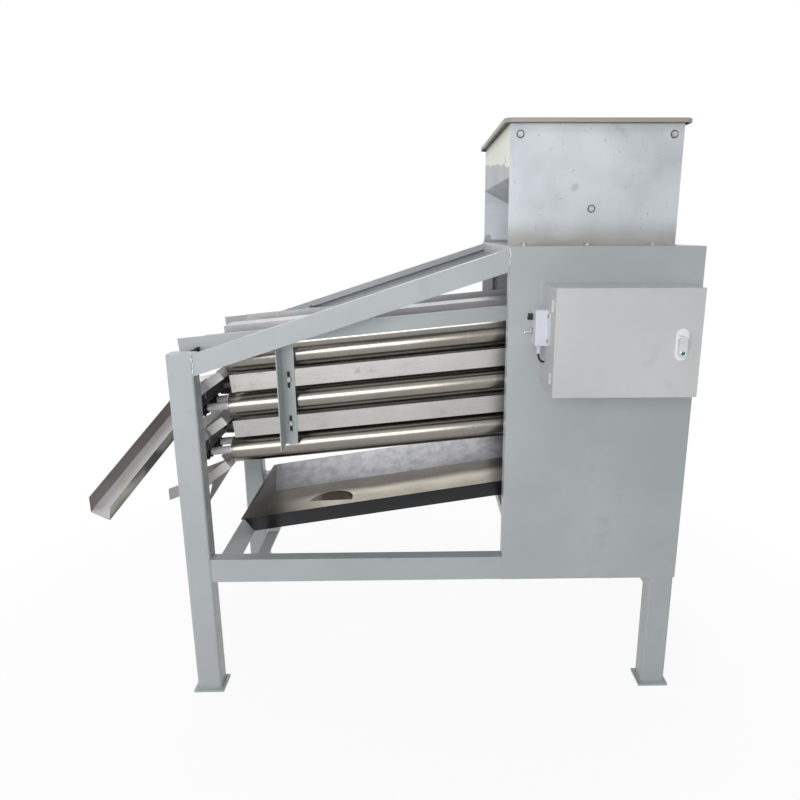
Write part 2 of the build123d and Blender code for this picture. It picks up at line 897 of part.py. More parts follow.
def trough_hooks(layer):
    """Strips under a trough that hook it over the bar of the layer below, clear of the ridge."""
    x0, z0, x1, z1 = trough_floor(layer)
    t = trough_sheet
    low, high = z0 - trough_flange, z0 + t * (z1 - z0) / (x1 - x0)
    outline = [(x0, low), (x0 + t, low), (x0 + t, high), (x0, z0)]
    hook = prism(outline, trough_near_y, ridge_y - trough_flange_gap)
    return [hook, across(hook)]


def spout_sides():
    """Near and far side of the short spouts."""
    return spout_centre_y - spout_width / 2, spout_centre_y + spout_width / 2


def spout(layer):
    """Sheets of the short spout that carries the nuts over the bar of the layer below."""
    z0 = trough_base(layer)
    t = trough_sheet
    left = left_leg_x - spout_reach
    bend = lower_bar_right - spout_step
    y0, y1 = spout_sides()
    floor = prism([(lower_bar_right, z0), (lower_bar_right, z0 + t), (bend, z0 + t),
                   (left, z0 + t - spout_drop), (left, z0 - spout_drop), (bend, z0)], y0, y1)
    wall = [(lower_bar_right, z0), (lower_bar_right, z0 + spout_wall), (bend, z0 + spout_wall),
            (left, z0 + spout_wall - spout_drop), (left, z0 - spout_drop), (bend, z0)]
    return [floor] + [one(prism(wall, a, a + t) - floor) for a in (y0, y1 - t)]


def spouted_trough(layer):
    """Trough with its spout."""
    return trough_sheets(layer, spout_sides()) + trough_hooks(layer) + spout(layer)


def bottom_trough():
    """Lowest trough, open towards the straight chute."""
    return trough_sheets(layer_count - 1, (bottom_chute_y, bottom_chute_y + bottom_chute_width))


def side_chute():
    """Long open channel that leads from the top spout down past the leg."""
    heading = radians(chute_heading)
    slope = radians(chute_slope)
    end = (left_leg_x - chute_reach, chute_end_y, trough_base(0) - chute_fall)
    along = (-cos(heading) * cos(slope), -sin(heading) * cos(slope), -sin(slope))
    normal = (-cos(heading) * sin(slope), -sin(heading) * sin(slope), cos(slope))
    side = (sin(heading), -cos(heading), 0)
    t = chute_sheet
    rise = chute_wall + t
    leaned = t * sqrt(rise ** 2 + chute_splay ** 2) / rise
    near_foot = chute_width + chute_splay * t / rise - leaned
    near_top = chute_width + chute_splay
    outline = [(0, chute_wall), (0, -t), (chute_width, -t), (near_top, chute_wall),
               (near_top - leaned, chute_wall), (near_foot, 0), (t, 0), (t, chute_wall)]
    channel = Plane(end, x_dir=side, z_dir=normal) * prism(outline, -chute_wall, reach / 4)
    square = Plane(end, x_dir=(along[0], along[1], 0), z_dir=(0, 0, 1))
    channel -= square * block(0, reach, -reach, reach, -reach, reach)
    channel -= block(left_leg_x, reach, -reach, reach, -reach, reach)
    return one(channel - block(-reach, reach, chute_reach_y, reach, -reach, reach))


def straight_chute(x0, x1, y0, high):
    """Open channel that falls straight towards the discharge side."""
    low = high - (x1 - x0) * tan(radians(bottom_chute_slope))
    t = chute_sheet
    y1 = y0 + bottom_chute_width
    wall = [(x0, low), (x1, high), (x1, high + bottom_chute_wall), (x0, low + bottom_chute_wall)]
    chute = prism([(x0, low), (x1, high), (x1, high + t), (x0, low + t)], y0, y1)
    return chute + prism(wall, y0, y0 + t) + prism(wall, y1 - t, y1)


def middle_chute():
    """Short channel on the edge of the lowest bar, under the middle spout on the far side."""
    high = lower_bar_bottom(layer_count - 1) + middle_chute_rise
    y0 = spout_centre_y - bottom_chute_width / 2
    return one(across(straight_chute(left_leg_x - middle_chute_reach, left_leg_x, y0, high)))


def bottom_chute():
    """Straight channel below the lowest trough."""
    high = trough_base(layer_count - 1) - bottom_chute_step
    left, right = left_leg_x - bottom_chute_reach, lower_bar_right - bottom_chute_gap
    chute = straight_chute(left, right, bottom_chute_y, high)
    for sheet in bottom_trough():
        chute -= sheet
    return one(chute)


def bottom_apron():
    """Triangular plate under the near end of the lowest trough's floor."""
    x0, z0, x1, z1 = trough_floor(layer_count - 1)
    points = [(x0, z0), (x1, z1), (x0 - apron_foot_inset, z0 - apron_foot_drop)]
    return prism(points, apron_y, apron_y + chute_sheet)


# Collecting tray

def tray_section(x, rim_z, inset):
    """Outline of the tray at x, its walls set in by inset."""
    y = [tray_near_y + inset, tray_floor_near_y + inset, tray_floor_far_y - inset, tray_far_y - inset]
    floor = rim_z - tray_floor_drop - (0 if inset else tray_sheet)
    points = [(x, y[0], rim_z), (x, y[1], floor), (x, y[2], floor), (x, y[3], rim_z)]
    return make_face(Polyline(*points, close=True))


def tray_rim_z(x):
    """Height of the tray's rim at x."""
    return tray_left_z + (x - tray_left_x) * (tray_right_z - tray_left_z) / (tray_right_x - tray_left_x)


def tray_body(x0, x1, inset):
    """Solid of the tray's outline between two upright ends."""
    ends = [tray_section(x, tray_rim_z(x), inset) for x in (x0, x1)]
    return loft(ends, ruled=True)


def tray_end_wedge(inset):
    """Wedge taken off the tray's low end, so that it leans outwards."""
    x0 = tray_left_x + inset
    high = tray_rim_z(x0)
    low = high - tray_floor_drop - tray_sheet
    return prism([(x0, high), (x0 + tray_end_lean, low), (x0, low)], 0, frame_depth)


def outlet_half(wall):
    """Half-round column through the tray's outlet, grown by a wall."""
    radius = outlet_diameter / 2 + wall
    half = Circle(radius) & Pos(0, radius - wall) * Rectangle(2 * radius, 2 * radius)
    x = tray_left_x + outlet_inset
    low = tray_underside(x) - outlet_drop
    return Pos(x, outlet_y, low) * Rot(0, 0, outlet_turn) * extrude(half, tray_rim_z(x) - low)


def tray_hole(x, y, diameter):
    """Upright hole through the tray's floor."""
    return Pos(x, y, tray_left_z) * Cylinder(diameter / 2, tray_left_z)


def collecting_tray():
    """Sloping tray with a half-round outlet, two small drain holes and a lip at its low rim."""
    t = tray_sheet
    space = tray_body(tray_left_x + t, tray_right_x - t, t) - tray_end_wedge(t)
    tray = tray_body(tray_left_x, tray_right_x, 0) - tray_end_wedge(0)
    tray = tray - space - outlet_half(0)
    for x in (tray_left_x + tray_drain_inset, -tray_rear_gap):
        tray -= tray_hole(x, tray_drain_y, tray_drain_diameter)
    lip_z = tray_left_z - t
    tray += block(tray_left_x - tray_lip, tray_left_x + t, tray_near_y, tray_far_y, lip_z - t, lip_z)
    return one(tray)


def outlet_collar():
    """Upright collar welded under the tray round its outlet."""
    return one(outlet_half(tray_sheet) - outlet_half(0) - tray_body(tray_left_x, tray_right_x, 0))


def tray_underside(x):
    """Height of the tray's floor from below."""
    return tray_rim_z(x) - tray_floor_drop - tray_sheet


def tray_pads(x0, x1, base):
    """Pads that carry the tray's sloping floor."""
    points = [(x0, base), (x1, base), (x1, tray_underside(x1)), (x0, tray_underside(x0))]
    return [prism(points, y, y + tray_pad_width) for y in tray_pad_y]


def tray_angle():
    """Angle bar under the tray's low end, between the lower rails."""
    x0 = left_leg_right + tray_angle_gap
    x1 = x0 + tray_angle_width
    y0, y1 = rail_depth, frame_depth - rail_depth
    t = tray_support_sheet
    bar = block(x0, x1, y0, y1, lower_rail_top - t, lower_rail_top)
    return bar + block(x0, x0 + t, y0, y1, lower_rail_top - tray_angle_leg, lower_rail_top)


def tray_bar():
    """Flat bar between the lower rails, with pads that carry the tray."""
    x0 = left_leg_right + tray_bar_gap
    x1 = x0 + tray_bar_width
    top = lower_rail_top
    bar = block(x0, x1, rail_depth, frame_depth - rail_depth, top - tray_support_sheet, top)
    return bar + tray_pads(x0, x1, top)


def tray_rear_bar():
    """Angle bar between the housing posts that the tray's high end rests on."""
    x0, x1 = tray_rear_gap, tray_rear_gap + tray_rear_leg
    y0, y1 = rail_depth, frame_depth - rail_depth
    t = tray_support_sheet
    z1 = tray_underside(x0) - rest_clearance
    return block(x0, x1, y0, y1, z1 - t, z1) + block(x0, x0 + t, y0, y1, z1 - tray_rear_leg, z1)


# Control box

def box_outline():
    """Sides of the control box body inside its door."""
    x0, x1 = box_left_x + door_margin, box_left_x + door_width - door_margin
    return x0, x1, box_bottom_z + door_margin, box_bottom_z + door_height - door_margin


def hinge_place():
    """Axis of the door's hinge, beside the box and behind the door's lip."""
    away = hinge_radius + hinge_gap
    return box_left_x + door_margin - away, door_front_y + door_lip + away


def hinge_heights():
    """Lower end of each hinge."""
    low = box_bottom_z + hinge_end_margin
    return low, box_bottom_z + door_height - hinge_end_margin - 2 * hinge_length


def knuckle(z, link_x):
    """Hinge barrel with the web that joins it to a sheet at link_x."""
    x, y = hinge_place()
    barrel = Pos(x, y, z) * extrude(Circle(hinge_radius), hinge_length)
    web = block(min(x, link_x), max(x, link_x), y - box_sheet, y + box_sheet, z, z + hinge_length)
    bore = Pos(x, y, z) * extrude(Circle(hinge_pin_diameter / 2 + running_clearance), hinge_length)
    return barrel + web - bore


def control_box():
    """Folded sheet box, open at the front, with the lower halves of the hinges."""
    x0, x1, z0, z1 = box_outline()
    t = box_sheet
    front = door_front_y + t + door_seal_gap
    back = -housing_sheet
    shell = block(x0, x1, front, back, z0, z1) - block(x0 + t, x1 - t, front, back - t, z0 + t, z1 - t)
    for z in hinge_heights():
        shell += knuckle(z, x0)
    return one(shell)


def control_door():
    """Door with a lip on all sides and the upper halves of the hinges."""
    x0, x1 = box_left_x, box_left_x + door_width
    z0, z1 = box_bottom_z, box_bottom_z + door_height
    t = box_sheet
    y0, y1 = door_front_y, door_front_y + door_lip
    door = block(x0, x1, y0, y1, z0, z1) - block(x0 + t, x1 - t, y0 + t, y1, z0 + t, z1 - t)
    x, y = hinge_place()
    for z in hinge_heights():
        upper = z + hinge_length + hinge_gap
        ear = Pos(x, y, upper) * extrude(Circle(hinge_radius), hinge_length)
        ear += block(x0, x0 + t, y0 + t, y, upper, upper + hinge_length)
        bore = Circle(hinge_pin_diameter / 2 + running_clearance)
        door = door + ear - Pos(x, y, upper) * extrude(bore, hinge_length)
    return one(door)


def hinge_pins():
    """Pins with a flat head resting on the door's knuckles."""
    x, y = hinge_place()
    pins = []
    for z in hinge_heights():
        length = 2 * hinge_length + hinge_gap
        pin = Pos(x, y, z) * extrude(Circle(hinge_pin_diameter / 2), length + hinge_gap + box_sheet)
        head = Pos(x, y, z + length + hinge_gap) * extrude(Circle(hinge_radius), box_sheet)
        pins.append(pin + head)
    return pins


def speed_inverter():
    """Drive unit for the motor, on the back of the control box."""
    x = box_left_x + door_width / 2
    z = box_bottom_z + door_height / 2
    back = -housing_sheet - box_sheet
    half, rise = inverter_width / 2, inverter_height / 2
    return block(x - half, x + half, back - inverter_depth, back, z - rise, z + rise)


def latch_outline(width, height):
    """Upright plate with round ends."""
    return Rot(0, 0, 90) * SlotOverall(height, width)


def facing_near(x, y, z):
    """Place whose +z points towards the near side."""
    return Pos(x, y, z) * Rot(90, 0, 0)


def handle_pivot_z():
    """Height of the pin that the handle swings on."""
    return latch_centre_z + handle_length / 2 - handle_thickness


def latch_base():
    """Plate on the door with two ears for the handle's pin."""
    outline = latch_outline(latch_width, latch_height)
    plate = facing_near(latch_x, door_front_y, latch_centre_z) * extrude(outline, latch_plate)
    y1 = door_front_y - latch_plate
    y0 = y1 - handle_lift - handle_thickness
    z = handle_pivot_z()
    half = handle_width / 2
    ear = (latch_width - handle_width) / 4
    middle = (y0 + y1 - handle_lift) / 2
    pin = Pos(latch_x, middle, z) * rod(handle_pivot_diameter / 2, -half - ear, half + ear)
    rise = handle_thickness / 2
    for side in (-1, 1):
        inner = latch_x + side * (half + handle_gap)
        outer = latch_x + side * (half + ear)
        plate += block(min(inner, outer), max(inner, outer), y0, y1, z - rise, z + rise)
    return one(plate + pin)


def door_handle():
    """Pull handle with its lock barrel, hinged at its upper end."""
    y1 = door_front_y - latch_plate - handle_lift
    top = handle_pivot_z() + handle_thickness / 2
    centre = top - handle_length / 2
    outline = latch_outline(handle_width, handle_length)
    body = facing_near(latch_x, y1, centre) * extrude(outline, handle_thickness)
    lock_z = top - handle_length + handle_width / 2
    barrel = extrude(Circle(lock_diameter / 2), lock_height)
    lock = facing_near(latch_x, y1 - handle_thickness, lock_z) * barrel
    bore = Pos(latch_x, y1 - handle_thickness / 2, handle_pivot_z()) * rod(
        handle_pivot_diameter / 2 + running_clearance, -handle_width, handle_width)
    return one(body + lock - bore)


def switch_sides():
    """Left and right faces of the switch box beside the control box."""
    right = box_outline()[0]
    return right - switch_width, right


def switch_box():
    """Small switch housing with a screw flange on the control box's side."""
    x0, x1 = switch_sides()
    y0, y1 = switch_front_y, switch_front_y + switch_depth
    z0, z1 = switch_bottom_z, switch_bottom_z + switch_height
    margin = (switch_height - switch_flange_height) / 2
    shape = block(x0, x1, y0, y1, z0, z1)
    shape += block(x1 - switch_flange_sheet, x1, y0 - switch_flange, y0, z0 + margin, z1 - margin)
    lever_z = z0 + lever_rise
    shape += Pos(0, knob_y, lever_z) * rod(lever_bush_diameter / 2, x0 - lever_bush_length, x0)
    socket = lever_ball_diameter / 2 + lever_socket_gap
    shape -= Pos(0, knob_y, lever_z) * rod(socket, x0 - lever_bush_length, x0 + lever_ball_diameter)
    stem = rod(knob_stem_diameter / 2 + running_clearance, x0, x0 + knob_stem_length)
    return one(shape - Pos(0, knob_y, z0 + knob_rise) * stem)


def speed_knob():
    """Ribbed knob with its stem."""
    x0, _ = switch_sides()
    gap = knob_gap
    step = 2 * pi / knob_ribs
    rim = knob_diameter / 2
    profile = [(rim - knob_rib, -0.4), (rim, -0.2), (rim, 0.2), (rim - knob_rib, 0.4)]
    points = []
    for rib in range(knob_ribs):
        points += [(r * cos((rib + a) * step), r * sin((rib + a) * step)) for r, a in profile]
    knob = disc(make_face(Polyline(*points, close=True)), x0 - gap - knob_length, x0 - gap)
    knob += rod(knob_stem_diameter / 2, x0 - gap - knob_length / 2, x0 + knob_stem_length - gap)
    return Pos(0, knob_y, switch_bottom_z + knob_rise) * knob


def lever_pivot():
    """Centre of the toggle's ball."""
    x0, _ = switch_sides()
    return x0, knob_y, switch_bottom_z + lever_rise


def switch_lever():
    """Toggle with a ball seat, a thin neck and a thicker tip, resting at its lower stop."""
    tip = lever_length - lever_diameter / 2
    lever = Sphere(lever_ball_diameter / 2)
    quarter = lever_length / 4
    lever += Pos(-quarter, 0, 0) * rod(lever_neck_diameter / 2, -quarter, quarter)
    lever += Pos(-tip / 2, 0, 0) * rod(lever_shank_diameter / 2, -tip / 2, 0)
    lever += Pos(-tip, 0, 0) * Sphere(lever_diameter / 2)
    return Pos(*lever_pivot()) * Rot(0, -lever_throw, 0) * one(lever)


def lead_points():
    """Route of the lead from the gland under the switch box into the control box's side."""
    x0, x1 = switch_sides()
    x = x1 - lead_inset
    top = switch_bottom_z - gland_length
    return [(x, lead_y, top), (x, lead_y, top - lead_drop), (x1, lead_y, top - lead_drop)]


def switch_lead():
    """Short lead, bent once."""
    points = lead_points()
    radius = 0.8 * lead_inset
    path = FilletPolyline(*points, radius=radius)
    lead = sweep(Plane(points[0], z_dir=(0, 0, -1)) * Circle(lead_diameter / 2), path=path)
    print("lead bend radius", round(radius, 2), "length", round(path.length, 1),
          "volume share", round(lead.volume / (path.length * pi * lead_diameter ** 2 / 4), 4))
    return lead


def lead_gland():
    """Screwed gland under the switch box, in two steps."""
    x, y, low = lead_points()[0]
    upper = gland_length / 2
    nut = Pos(x, y, low + upper) * extrude(RegularPolygon(gland_diameter / 2, 6), gland_length - upper)
    return nut + Pos(x, y, low) * extrude(Circle(gland_diameter / 2 - knob_rib), upper)


# Fasteners

def near_bolts():
    """Bolts of the near side: hopper plate, hopper foot, strap slots and guard."""
    bolts = [facing_far(x, hopper_inset, z) * bolt(hopper_sheet) for x, z in hopper_bolt_places()]
    for x, y in foot_bolt_places():
        upside_down = Pos(x, y, housing_top + hopper_sheet) * Rot(180, 0, 0)
        bolts.append(upside_down * bolt(hopper_sheet + housing_sheet))
    for x, z in strap_bolt_places() + [guard_bolt_place()]:
        bolts.append(facing_far(x, guard_y - strap_thickness, z) * bolt(strap_thickness + guard_sheet))
    return bolts


def build_nodes():
    """Every node of the machine, in the machine frame."""
    left_y, far_leg_y = 0, frame_depth - leg_depth
    nodes = {
        "near_left_leg": [leg(left_leg_x, left_y, left_leg_top, True)],
        "far_left_leg": [leg(left_leg_x, far_leg_y, left_leg_top, True)],
        "near_right_leg": [leg(right_leg_x, left_y, panel_top, False)],
        "far_right_leg": [leg(right_leg_x, far_leg_y, panel_top, False)],
        "foot_plates": [foot_plate(x, y) for x in (left_leg_x, right_leg_x) for y in (left_y, far_leg_y)],
    }
    rail = tube_along_x(left_leg_right, right_leg_x, 0, lower_rail_bottom, lower_rail_height)
    nodes["near_lower_rail"] = [rail]
    nodes["far_lower_rail"] = [across(rail)]
    nodes["near_sloped_rail"] = [sloped_rail()]
    nodes["far_sloped_rail"] = [across(sloped_rail())]
    nodes["housing_posts"] = [housing_post(), across(housing_post())]
    nodes["right_cross_beam"] = [cross_beam(), beam_gusset(), across(beam_gusset())]
    nodes["housing_near_panel"] = [near_panel()]
    nodes["housing_far_panel"] = [across(near_panel())]
    nodes["housing_end_panel"] = [end_panel()]
    nodes["housing_top_plate"] = [top_plate()]
    nodes["housing_front_band"] = [front_band()]
    nodes["hopper_near_plate"] = [hopper_near_plate()]
    nodes["hopper_far_plate"] = [across(hopper_near_plate())]
    nodes["hopper_left_slope"] = [hopper_left_slope()]
    nodes["hopper_right_slope"] = [hopper_right_slope()]
    nodes["hopper_rim"] = [hopper_rim()]
    layers = range(layer_count)
    nodes["bearing_bars"] = [bar(layer) for layer in layers for bar in (lower_bar, upper_bar)]
    nodes["lower_bearing_blocks"] = [lower_block(layer, index) for layer in layers for index in range(4)]
    nodes["upper_bearing_blocks"] = [upper_block(layer, index) for layer in layers for index in range(4)]
    for layer, name in enumerate(("top", "middle", "bottom")):
        for index in range(4):
            nodes[f"{name}_roller_{index + 1}"] = roller(layer, index)
    nodes["side_guards"] = [side_guard(), across(side_guard())]
    nodes["guard_linings"] = [guard_lining(), across(guard_lining())]
    nodes["centre_ridges"] = [centre_ridge(layer) for layer in layers]
    skirts = [skirt_plate(layer) for layer in range(1, layer_count)]
    nodes["skirt_plates"] = skirts + [across(plate) for plate in skirts]
    nodes["guard_straps"] = [guard_strap(), across(guard_strap())]
    far_trough = [across(sheet) for sheet in spouted_trough(1)]
    nodes["discharge_troughs"] = spouted_trough(0) + far_trough + bottom_trough()
    nodes["top_chute"] = [side_chute()]
    nodes["middle_chute"] = [middle_chute()]
    nodes["bottom_chute"] = [bottom_chute(), bottom_apron()]
    nodes["collecting_tray"] = [collecting_tray(), outlet_collar()]
    nodes["tray_supports"] = [tray_angle(), tray_bar(), tray_rear_bar()]
    nodes["control_box"] = [control_box()]
    nodes["control_door"] = [control_door(), latch_base()]
    nodes["hinge_pins"] = hinge_pins()
    nodes["door_handle"] = [door_handle()]
    nodes["switch_box"] = [switch_box(), lead_gland()]
    nodes["speed_knob"] = [speed_knob()]
    nodes["switch_lever"] = [switch_lever()]
    nodes["switch_lead"] = [switch_lead()]
    nodes["speed_inverter"] = [speed_inverter()]
    nodes["gear_motor"] = [gear_motor(), motor_plate_solid()]
    nodes["drive_sprocket"] = [drive_sprocket()]
    nodes["drive_chains"] = drive_chains()
    bolts = near_bolts()
    nodes["hex_bolts"] = bolts + [across(piece) for piece in bolts]
    return nodes


nodes = build_nodes()
pieces = [piece for group in nodes.values() for piece in group]
bounds = Compound(children=[Compound(label=name, children=[Compound(p.wrapped) for p in group])
                            for name, group in nodes.items()]).bounding_box()
shift = (-(bounds.min.X + bounds.max.X) / 2, -(bounds.min.Y + bounds.max.Y) / 2, -bounds.min.Z)

if __name__ == "__main__":
    os.makedirs("parts", exist_ok=True)
    for name, group in nodes.items():
        placed = [Pos(*shift) * piece for piece in group]
        export_step(Compound(label=name, children=placed), f"parts/{name}.step")
    print("nodes", len(nodes), "solids", len(pieces))
    print("shift", [round(value, 3) for value in shift])
    print("size", [round(value, 1) for value in bounds.size])
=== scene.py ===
# %% [markdown]
# # Dressing a nut grading machine
# The solid model of the machine is loaded first, and nothing in it is moved. Everything that
# follows adds finishes and small fittings round it, in the same frame and in metres.

# %% Load the solid model
from math import cos, pi, radians, sin, tan
from random import Random

import bmesh
import bpy
from mathutils import Matrix, Vector


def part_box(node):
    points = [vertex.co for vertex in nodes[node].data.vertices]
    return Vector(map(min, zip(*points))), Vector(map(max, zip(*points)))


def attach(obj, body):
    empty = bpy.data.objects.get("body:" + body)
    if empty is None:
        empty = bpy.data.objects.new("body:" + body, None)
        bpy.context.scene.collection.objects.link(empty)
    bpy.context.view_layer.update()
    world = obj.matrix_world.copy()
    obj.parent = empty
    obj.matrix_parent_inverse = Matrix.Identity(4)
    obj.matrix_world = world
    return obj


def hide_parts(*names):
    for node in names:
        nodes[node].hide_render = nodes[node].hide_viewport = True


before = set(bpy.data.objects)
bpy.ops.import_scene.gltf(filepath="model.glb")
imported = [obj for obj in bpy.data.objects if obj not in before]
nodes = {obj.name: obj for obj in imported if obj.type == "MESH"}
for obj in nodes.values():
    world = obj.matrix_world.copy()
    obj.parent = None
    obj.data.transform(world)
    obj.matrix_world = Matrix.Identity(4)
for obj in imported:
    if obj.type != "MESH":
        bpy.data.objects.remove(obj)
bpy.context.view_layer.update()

# %% [markdown]
# ## One set of measures
# The machine was measured in millimetres from the corner of its housing, so that corner is kept
# as the place to count from. A point in those measures is moved into the model's frame here.

# %% Measures of the machine
HOUSING_CORNER = (363.0, -291.5, 0.0)
DEPTH = 781.0
AXIS_SLOPE = radians(5.41)
TOP_AXIS = 1196.0
LAYER_PITCH = 155.0
LAYERS = ("top", "middle", "bottom")
ROLLER_Y = (192.0, 296.0, 485.0, 589.0)


def at(x, y, z):
    """A point of the machine, given in millimetres, in the model's frame."""
    return Vector([(value + offset) / 1000 for value, offset in zip((x, y, z), HOUSING_CORNER)])


def x_at(x):
    """A place along the machine in the model's frame."""
    return at(x, 0, 0).x


def y_at(y):
    """A place across the machine in the model's frame."""
    return at(0, y, 0).y


def axis_height(layer, x):
    """Height of a layer's roller axes in millimetres."""
    return TOP_AXIS - layer * LAYER_PITCH + x * tan(AXIS_SLOPE)


print("housing corner", at(0, 0, 0))

# %% [markdown]
# ## The camera
# The photo was taken a little above the roller bank, looking slightly down. A camera could be
# turned by eye, or made to track a point. Here its turn was worked out from straight edges, so it
# is built from its three directions, and a small shift puts the picture's centre where the lens
# pointed.

# %% Camera
IMAGE_SIZE = 800
FOCAL_PIXELS = 628.3547
CENTRE_PIXEL = (428.41, 379.81)
SENSOR_WIDTH = 36.0
CAMERA_PLACE = (-270.29, -1857.36, 1528.89)
YAW, PITCH, ROLL = radians(0.9964), radians(-13.4111), radians(0.1328)

forward = Vector((sin(YAW) * cos(PITCH), cos(YAW) * cos(PITCH), sin(PITCH)))
level_right = Vector((cos(YAW), -sin(YAW), 0))
level_down = forward.cross(level_right)
right = level_right * cos(ROLL) + level_down * sin(ROLL)
down = level_down * cos(ROLL) - level_right * sin(ROLL)

lens = bpy.data.cameras.new("photo_camera")
lens.sensor_width = SENSOR_WIDTH
lens.lens = FOCAL_PIXELS / IMAGE_SIZE * SENSOR_WIDTH
lens.shift_x = 0.5 - CENTRE_PIXEL[0] / IMAGE_SIZE
lens.shift_y = CENTRE_PIXEL[1] / IMAGE_SIZE - 0.5
camera = bpy.data.objects.new("photo_camera", lens)
bpy.context.scene.collection.objects.link(camera)
turn = Matrix((right, -down, -forward)).transposed().to_4x4()
camera.matrix_world = Matrix.Translation(at(*CAMERA_PLACE)) @ turn
bpy.context.scene.camera = camera
print("lens", round(lens.lens, 2), "mm")

# %% [markdown]
# ## White surroundings
# The machine stands alone on white. White could come from very strong light, but that would bleach
# the paint. So the world is white only to the camera, in reflections and through glass, and gives
# the surfaces a low, even light.

# %% World
WORLD_LIGHT = 0.30


def join(tree, operation, first, second):
    """Two values joined by one operation, such as MULTIPLY or MAXIMUM."""
    node = tree.nodes.new("ShaderNodeMath")
    node.operation = operation
    tree.links.new(first, node.inputs[0])
    tree.links.new(second, node.inputs[1])
    return node.outputs[0]


def between(tree, value, low, high, start=0.0, end=1.0, smooth=False):
    """Runs from low, where the given value is at start, to high, where it is at end."""
    node = tree.nodes.new("ShaderNodeMapRange")
    if smooth:
        node.interpolation_type = "SMOOTHSTEP"
    node.inputs["From Min"].default_value = start
    node.inputs["From Max"].default_value = end
    node.inputs["To Min"].default_value = low
    node.inputs["To Max"].default_value = high
    tree.links.new(value, node.inputs["Value"])
    return node.outputs["Result"]


def white_to_view(tree, low, high):
    """A strength that is high to the camera, to mirrors and to glass, and low to everything else."""
    path = tree.nodes.new("ShaderNodeLightPath")
    seen = path.outputs["Is Camera Ray"]
    for kind in ("Is Glossy Ray", "Is Transmission Ray"):
        seen = join(tree, "MAXIMUM", seen, path.outputs[kind])
    return between(tree, seen, low, high)


world = bpy.data.worlds.new("studio")
bpy.context.scene.world = world
world.use_nodes = True
sky = world.node_tree.nodes["Background"]
sky.inputs["Color"].default_value = (1, 1, 1, 1)
world.node_tree.links.new(white_to_view(world.node_tree, WORLD_LIGHT, 1.0), sky.inputs["Strength"])
print("world light", WORLD_LIGHT)

# %% [markdown]
# ## Floor
# The floor is white to the camera too, but near the machine a small share of it stays matt paint,
# which takes the shadow. That share fades out with the distance from the machine, so no edge of the
# floor is seen.

# %% Floor
FLOOR_SIZE, FLOOR_TONE, FLOOR_ROUGHNESS = 30, (0.86, 0.86, 0.86, 1), 0.9
SHADOW_EDGE, SHADOW_END, SHADOW_WHITE = 0.7, 2.4, 0.92


def distance_from(tree, middle, keep=(1, 1, 1)):
    """Distance of a point from a middle, counted only along the axes that are kept."""
    place = tree.nodes.new("ShaderNodeTexCoord")
    moved = tree.nodes.new("ShaderNodeMapping")
    moved.inputs["Location"].default_value = [-value * kept for value, kept in zip(middle, keep)]
    moved.inputs["Scale"].default_value = keep
    away = tree.nodes.new("ShaderNodeVectorMath")
    away.operation = "LENGTH"
    tree.links.new(place.outputs["Object"], moved.inputs["Vector"])
    tree.links.new(moved.outputs["Vector"], away.inputs[0])
    return away.outputs["Value"]


def floor_finish():
    """Matt pale paint near the machine, fading to plain white."""
    material = bpy.data.materials.new("floor_paint")
    material.use_nodes = True
    tree = material.node_tree
    matt = tree.nodes["Principled BSDF"]
    matt.inputs["Base Color"].default_value = FLOOR_TONE
    matt.inputs["Roughness"].default_value = FLOOR_ROUGHNESS
    glow = tree.nodes.new("ShaderNodeEmission")
    glow.inputs["Strength"].default_value = 1.0
    away = distance_from(tree, (0, 0, 0))
    white = between(tree, away, SHADOW_WHITE, 1.0, SHADOW_EDGE, SHADOW_END, smooth=True)
    mix = tree.nodes.new("ShaderNodeMixShader")
    tree.links.new(join(tree, "MULTIPLY", white_to_view(tree, 0.0, 1.0), white), mix.inputs["Fac"])
    tree.links.new(matt.outputs["BSDF"], mix.inputs[1])
    tree.links.new(glow.outputs["Emission"], mix.inputs[2])
    tree.links.new(mix.outputs["Shader"], tree.nodes["Material Output"].inputs["Surface"])
    return material


floor_shape = bmesh.new()
bmesh.ops.create_grid(floor_shape, x_segments=1, y_segments=1, size=FLOOR_SIZE)
floor_mesh = bpy.data.meshes.new("floor")
floor_shape.to_mesh(floor_mesh)
floor_shape.free()
floor_mesh.materials.append(floor_finish())
floor = bpy.data.objects.new("floor", floor_mesh)
bpy.context.scene.collection.objects.link(floor)
print("floor fades from", SHADOW_EDGE, "to", SHADOW_END, "m")

# %% [markdown]
# ## Lamps
# In the photo the fronts are lit from behind the camera, the sides fall off to a darker tone, and a
# long bright line runs along every roller. A picture of a hall could light it that way, but single
# lamps can be set one by one. So one large lamp stands behind the camera, a long narrow one hangs
# over the front of the roller bank, and two more light the left end and the back.

# %% Lamps


def soft_box(name, place, target, size, power):
    """A large lamp that faces a point, with its width and height."""
    lamp = bpy.data.lights.new(name, "AREA")
    lamp.shape = "RECTANGLE"
    lamp.size, lamp.size_y = size
    lamp.energy = power
    holder = bpy.data.objects.new(name, lamp)
    holder.location = place
    holder.rotation_euler = (Vector(target) - Vector(place)).to_track_quat("-Z", "Y").to_euler()
    bpy.context.scene.collection.objects.link(holder)
    print(name, power, "W")


soft_box("key_lamp", (-1.1, -3.5, 1.9), (-0.1, 0, 0.95), (2.6, 1.4), 70)
soft_box("long_lamp", (-0.3, -1.7, 3.6), (-0.3, -0.1, 1.0), (3.2, 0.25), 13)
soft_box("left_lamp", (-4.0, 0.4, 3.4), (0, 0, 0.9), (1.8, 1.8), 6)
soft_box("back_lamp", (-0.6, 3.0, 3.9), (0, 0.2, 0.9), (2.6, 1.6), 70)
bpy.context.scene.view_settings.view_transform = "Standard"

# %% [markdown]
# ## Patterns for finishes
# A finish could be a painted picture wrapped round each piece. Patterns made of nodes need no
# unwrapping and stay sharp close up, so they are used here. A finish starts as one shader with its
# plain numbers set on it. Noise, read in the piece's own coordinates, then varies the colour, the
# gloss and the height, so no surface is one flat colour.

